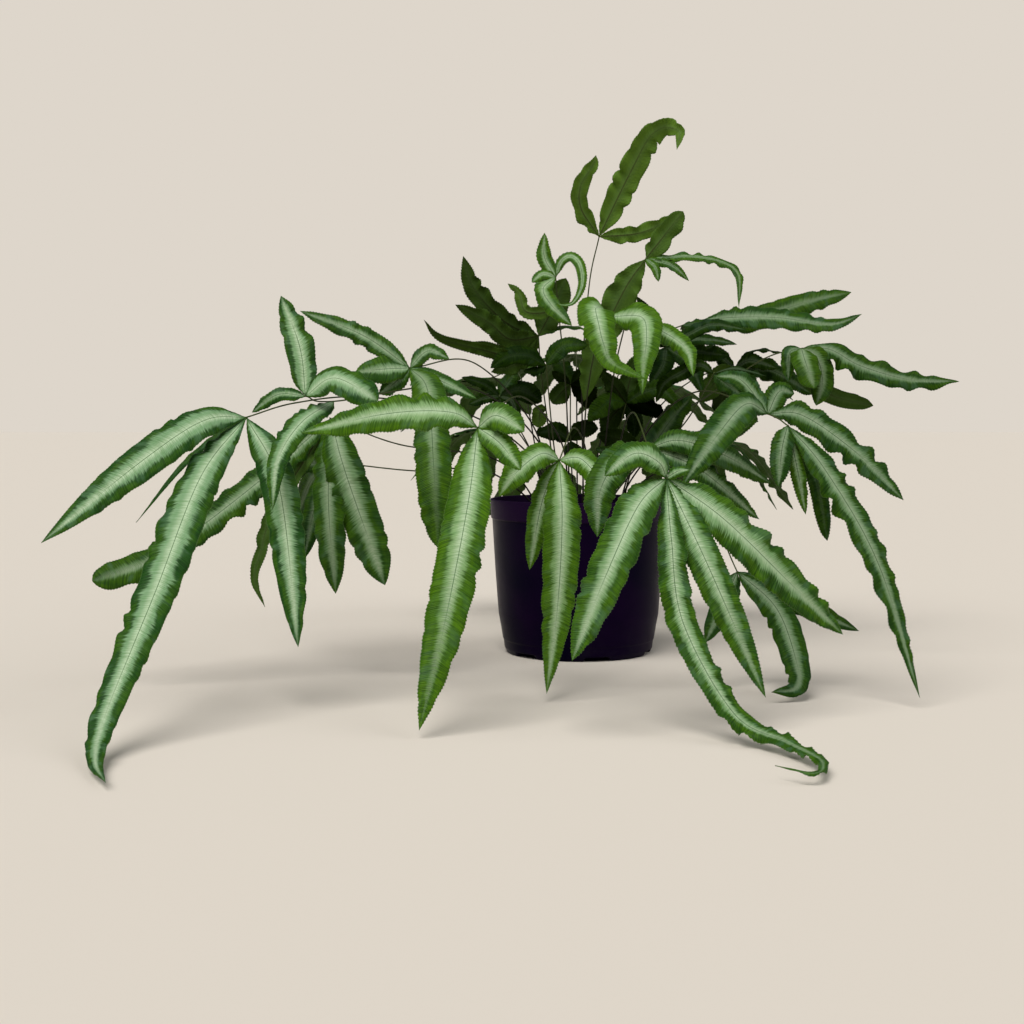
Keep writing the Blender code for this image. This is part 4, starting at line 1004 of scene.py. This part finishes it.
# Young and still curled
grow(14, 0.8, 0.8, 1, [(-7, -10), (-10, -18, 190), (-16, -26, 250), (-18, -30, 272)], [
    leaf([(-26, -30, 286), (-26, -32, 303)], 12, taper=3),
    leaf([(-27, -33, 274), (-35, -35, 268)], 9),
    leaf([(-27, -38, 263), (-21, -42, 251), (-7, -45, 237)], 13.5),
    leaf([(-14, -32, 283), (-7, -36, 286), (-1, -41, 279), (0, -46, 265), (-6, -50, 253), (-15, -52, 251),
          (-19, -52, 256)], 10, taper=1.6, ruffle=0.6),
    leaf([(-29, -24, 247), (-40, -24, 249), (-44, -24, 261), (-52, -24, 268)], 9.5, BACK, node=1,
         ruffle=1.8),
])

# Broad leaflets that hang to the front
grow(15, 1.1, 0.9, 1, [(2, -19), (4, -26, 180), (12, -36, 230), (19, -44, 243)], [
    leaf([(9, -64, 248), (10, -79, 236), (13, -87, 222), (19, -93, 209), (41, -100, 198)], 30, taper=1.6,
         fade=0.9),
    leaf([(40, -62, 242), (43, -75, 228), (40, -85, 206), (39, -90, 188)], 25, taper=2.3, fade=0.6),
    leaf([(48, -50, 236), (71, -60, 221), (76, -68, 201)], 16, ruffle=1.3),
])

# Right of centre, behind
grow(24, 0.4, 0.3, 0.15, [(9, 19), (22, 32, 170), (46, 44, 212), (68, 46, 226)], [
    leaf([(57, 49, 246), (46, 47, 264)], 11, BACK),
    leaf([(86, 36, 231), (104, 30, 230), (119, 26, 227)], 10, pale=1.6),
    leaf([(86, 36, 236), (102, 34, 242), (127, 30, 238)], 11),
    leaf([(90, 42, 222), (115, 36, 219)], 15, fresh=0.3),
    leaf([(84, 32, 214), (93, 22, 191)], 15),
    leaf([(64, 30, 211), (54, 22, 197)], 15),
    leaf([(58, 42, 234), (45, 38, 230)], 14, BACK),
], ragged=1.8)


# The fronds of the middle: short, painted dark with shade, half hidden between the others. Grown like
# the others, they fill the heart of the plant.

# Left of centre, its undersides show
grow(16, 0.7, 0.2, 0.42, [(-15, 6), (-24, 4, 178), (-28, -8, 205), (-30, -20, 231)], [
    leaf([(-49, -18, 238), (-65, -18, 251), (-78, -18, 268), (-84, -18, 288)], 17, BACK, ruffle=1.9),
    leaf([(-50, -32, 228), (-66, -36, 240), (-89, -38, 252)], 15, BACK, ruffle=1.9),
    leaf([(-12, -12, 238), (7, -8, 236)], 9, UP),
    leaf([(-52, -26, 219), (-79, -28, 226)], 13, BACK, ruffle=1.9),
    leaf([(-44, -22, 212), (-64, -23, 205)], 13, BACK, ruffle=1.9),
    leaf([(-22, -16, 246), (-16, -12, 259), (-10, -10, 273)], 21, BACK, ruffle=1.6),
    leaf([(-28, 2, 177), (-30, 2, 165)], 12, BACK, node=2, fresh=0.4),
])

# Short leaflets, in front
grow(20, 0.6, 0.1, 0.18, [(-13, -17), (-20, -32, 160), (-25, -46, 209)], [
    leaf([(-38, -50, 216), (-52, -52, 215), (-64, -54, 207)], 15, ruffle=1.8),
    leaf([(-71, -52, 220), (-99, -56, 228), (-110, -60, 240)], 9, BACK, fresh=0.3, ruffle=1.6),
    leaf([(-19, -48, 217), (-11, -50, 223), (4, -52, 223)], 14, ruffle=1.4),
    leaf([(-32, -48, 205), (-41, -50, 205)], 7, ruffle=1.6),
])

# Small, painted dark with shade
grow(21, 0.5, 0.15, 0.14, [(16, 16), (26, 18, 145), (36, 20, 183)], [
    leaf([(25, 14, 185), (17, 10, 180), (7, 6, 170)], 16, pale=0.2, fresh=0.6),
    leaf([(48, 14, 182), (64, 10, 174)], 15),
    leaf([(48, 14, 191), (61, 9, 193), (73, 4, 182)], 15, fresh=0.5),
    leaf([(28, 16, 194), (18, 14, 206)], 13, BACK),
    leaf([(42, 24, 174), (43, 26, 157)], 13),
    leaf([(26, 26, 173), (20, 28, 158)], 16, BACK),
    leaf([(39, 22, 200), (47, 20, 221)], 16, BACK),
], ragged=1.8)

# Behind
grow(22, 0.7, 0.1, 0.15, [(-3, 21), (-5, 28, 155), (-5, 32, 197)], [
    leaf([(-11, 30, 192), (-19, 28, 183)], 15, BACK),
    leaf([(5, 30, 192), (13, 26, 180)], 17, BACK),
    leaf([(-11, 50, 212), (-12, 76, 216)], 14, UP),
    leaf([(5, 54, 207), (14, 80, 195)], 17, UP),
    leaf([(-11, 30, 201), (-19, 29, 207)], 8, BACK),
    leaf([(10, 32, 207), (26, 30, 214)], 15, BACK),
    leaf([(-16, 26, 162), (-31, 24, 161)], 15, node=1, pale=2),
    leaf([(4, 30, 164), (16, 30, 164)], 14, BACK, node=1),
    leaf([(-3, 22, 147), (8, 18, 139)], 14, node=1),
], ragged=1.8)

# Behind at the left, small
grow(23, 0.6, 0.2, 0.22, [(-18, 16), (-36, 14, 150), (-58, 10, 188)], [
    leaf([(-70, 8, 197), (-86, 6, 202)], 9),
    leaf([(-53, 10, 197), (-45, 10, 207)], 12),
    leaf([(-43, 6, 193), (-27, 4, 184)], 18),
    leaf([(-68, 6, 187), (-81, 4, 182)], 9, pale=2),
    leaf([(-49, 2, 184), (-44, 0, 169)], 9, pale=3),
    leaf([(-60, 10, 178), (-68, 10, 165)], 12),
], ragged=1.8)


# The fronds of the far side, which the photo does not show: arching away from the pot, each with its
# leaflets fanned around the stalk's end. Each row is the azimuth in degrees from +X, the reach and
# the height of the stalk's end in millimetres, and the number of leaflets.
FAR_FRONDS = [
    (52, 185, 156, 4), (64, 110, 202, 4), (74, 205, 172, 5), (89, 135, 224, 4),
    (97, 180, 134, 4), (112, 195, 164, 4), (124, 115, 204, 4),
]
# Tint, silver and light of every far frond; the light is a painted shade.
FAR_TONES = (0.4, 0.7, 0.6)
FAR_ROOT_CIRCLE = 41
FAR_SPREAD = math.radians(170)
FAR_TURN = math.radians(6)
FAR_WIDTHS = (18, 23)
FAR_LOW = 180
FAR_SEED = 7


def far_frond(azimuth, reach, height, count, rng):
    """A frond that arches away from the pot, its leaflets fanned evenly around the stalk's end: they
    are longest straight ahead, and those of a low frond hang more steeply."""
    angle = math.radians(azimuth)
    away = np.array([math.cos(angle), math.sin(angle), 0])
    aside = np.array([-math.sin(angle), math.cos(angle), 0])
    up = np.array([0, 0, 1])
    end = away * reach + up * height
    soil_top = SOIL_TOP / CM * MM_PER_CM
    stalk = [
        away[:2] * FAR_ROOT_CIRCLE,
        away * (FAR_ROOT_CIRCLE + 0.12 * reach) + up * (soil_top + 0.45 * (height - soil_top)),
        away * 0.68 * reach + up * (height + 2),
        end,
    ]
    leaves = []
    for index in range(count):
        turn = (index - (count - 1) / 2) * FAR_SPREAD / count + rng.uniform(-FAR_TURN, FAR_TURN)
        way = away * math.cos(turn) + aside * math.sin(turn)
        length = rng.uniform(52, 62) + 60 * math.cos(turn / 2) ** 6
        drop = length * (rng.uniform(0.55, 0.75) if height < FAR_LOW else rng.uniform(0.3, 0.42))
        across = way * 0.93 * math.sqrt(length ** 2 - drop ** 2)
        middle, tip = end + across * 0.5 - up * drop * 0.22, end + across - up * drop
        leaves.append(leaf([middle, tip], rng.uniform(*FAR_WIDTHS), tuple(way * 0.5 + up)))
    return stalk, leaves


far_draws = np.random.default_rng(FAR_SEED)
for far_number, far_values in enumerate(FAR_FRONDS, start=26):
    grow(far_number, *FAR_TONES, *far_frond(*far_values, far_draws))
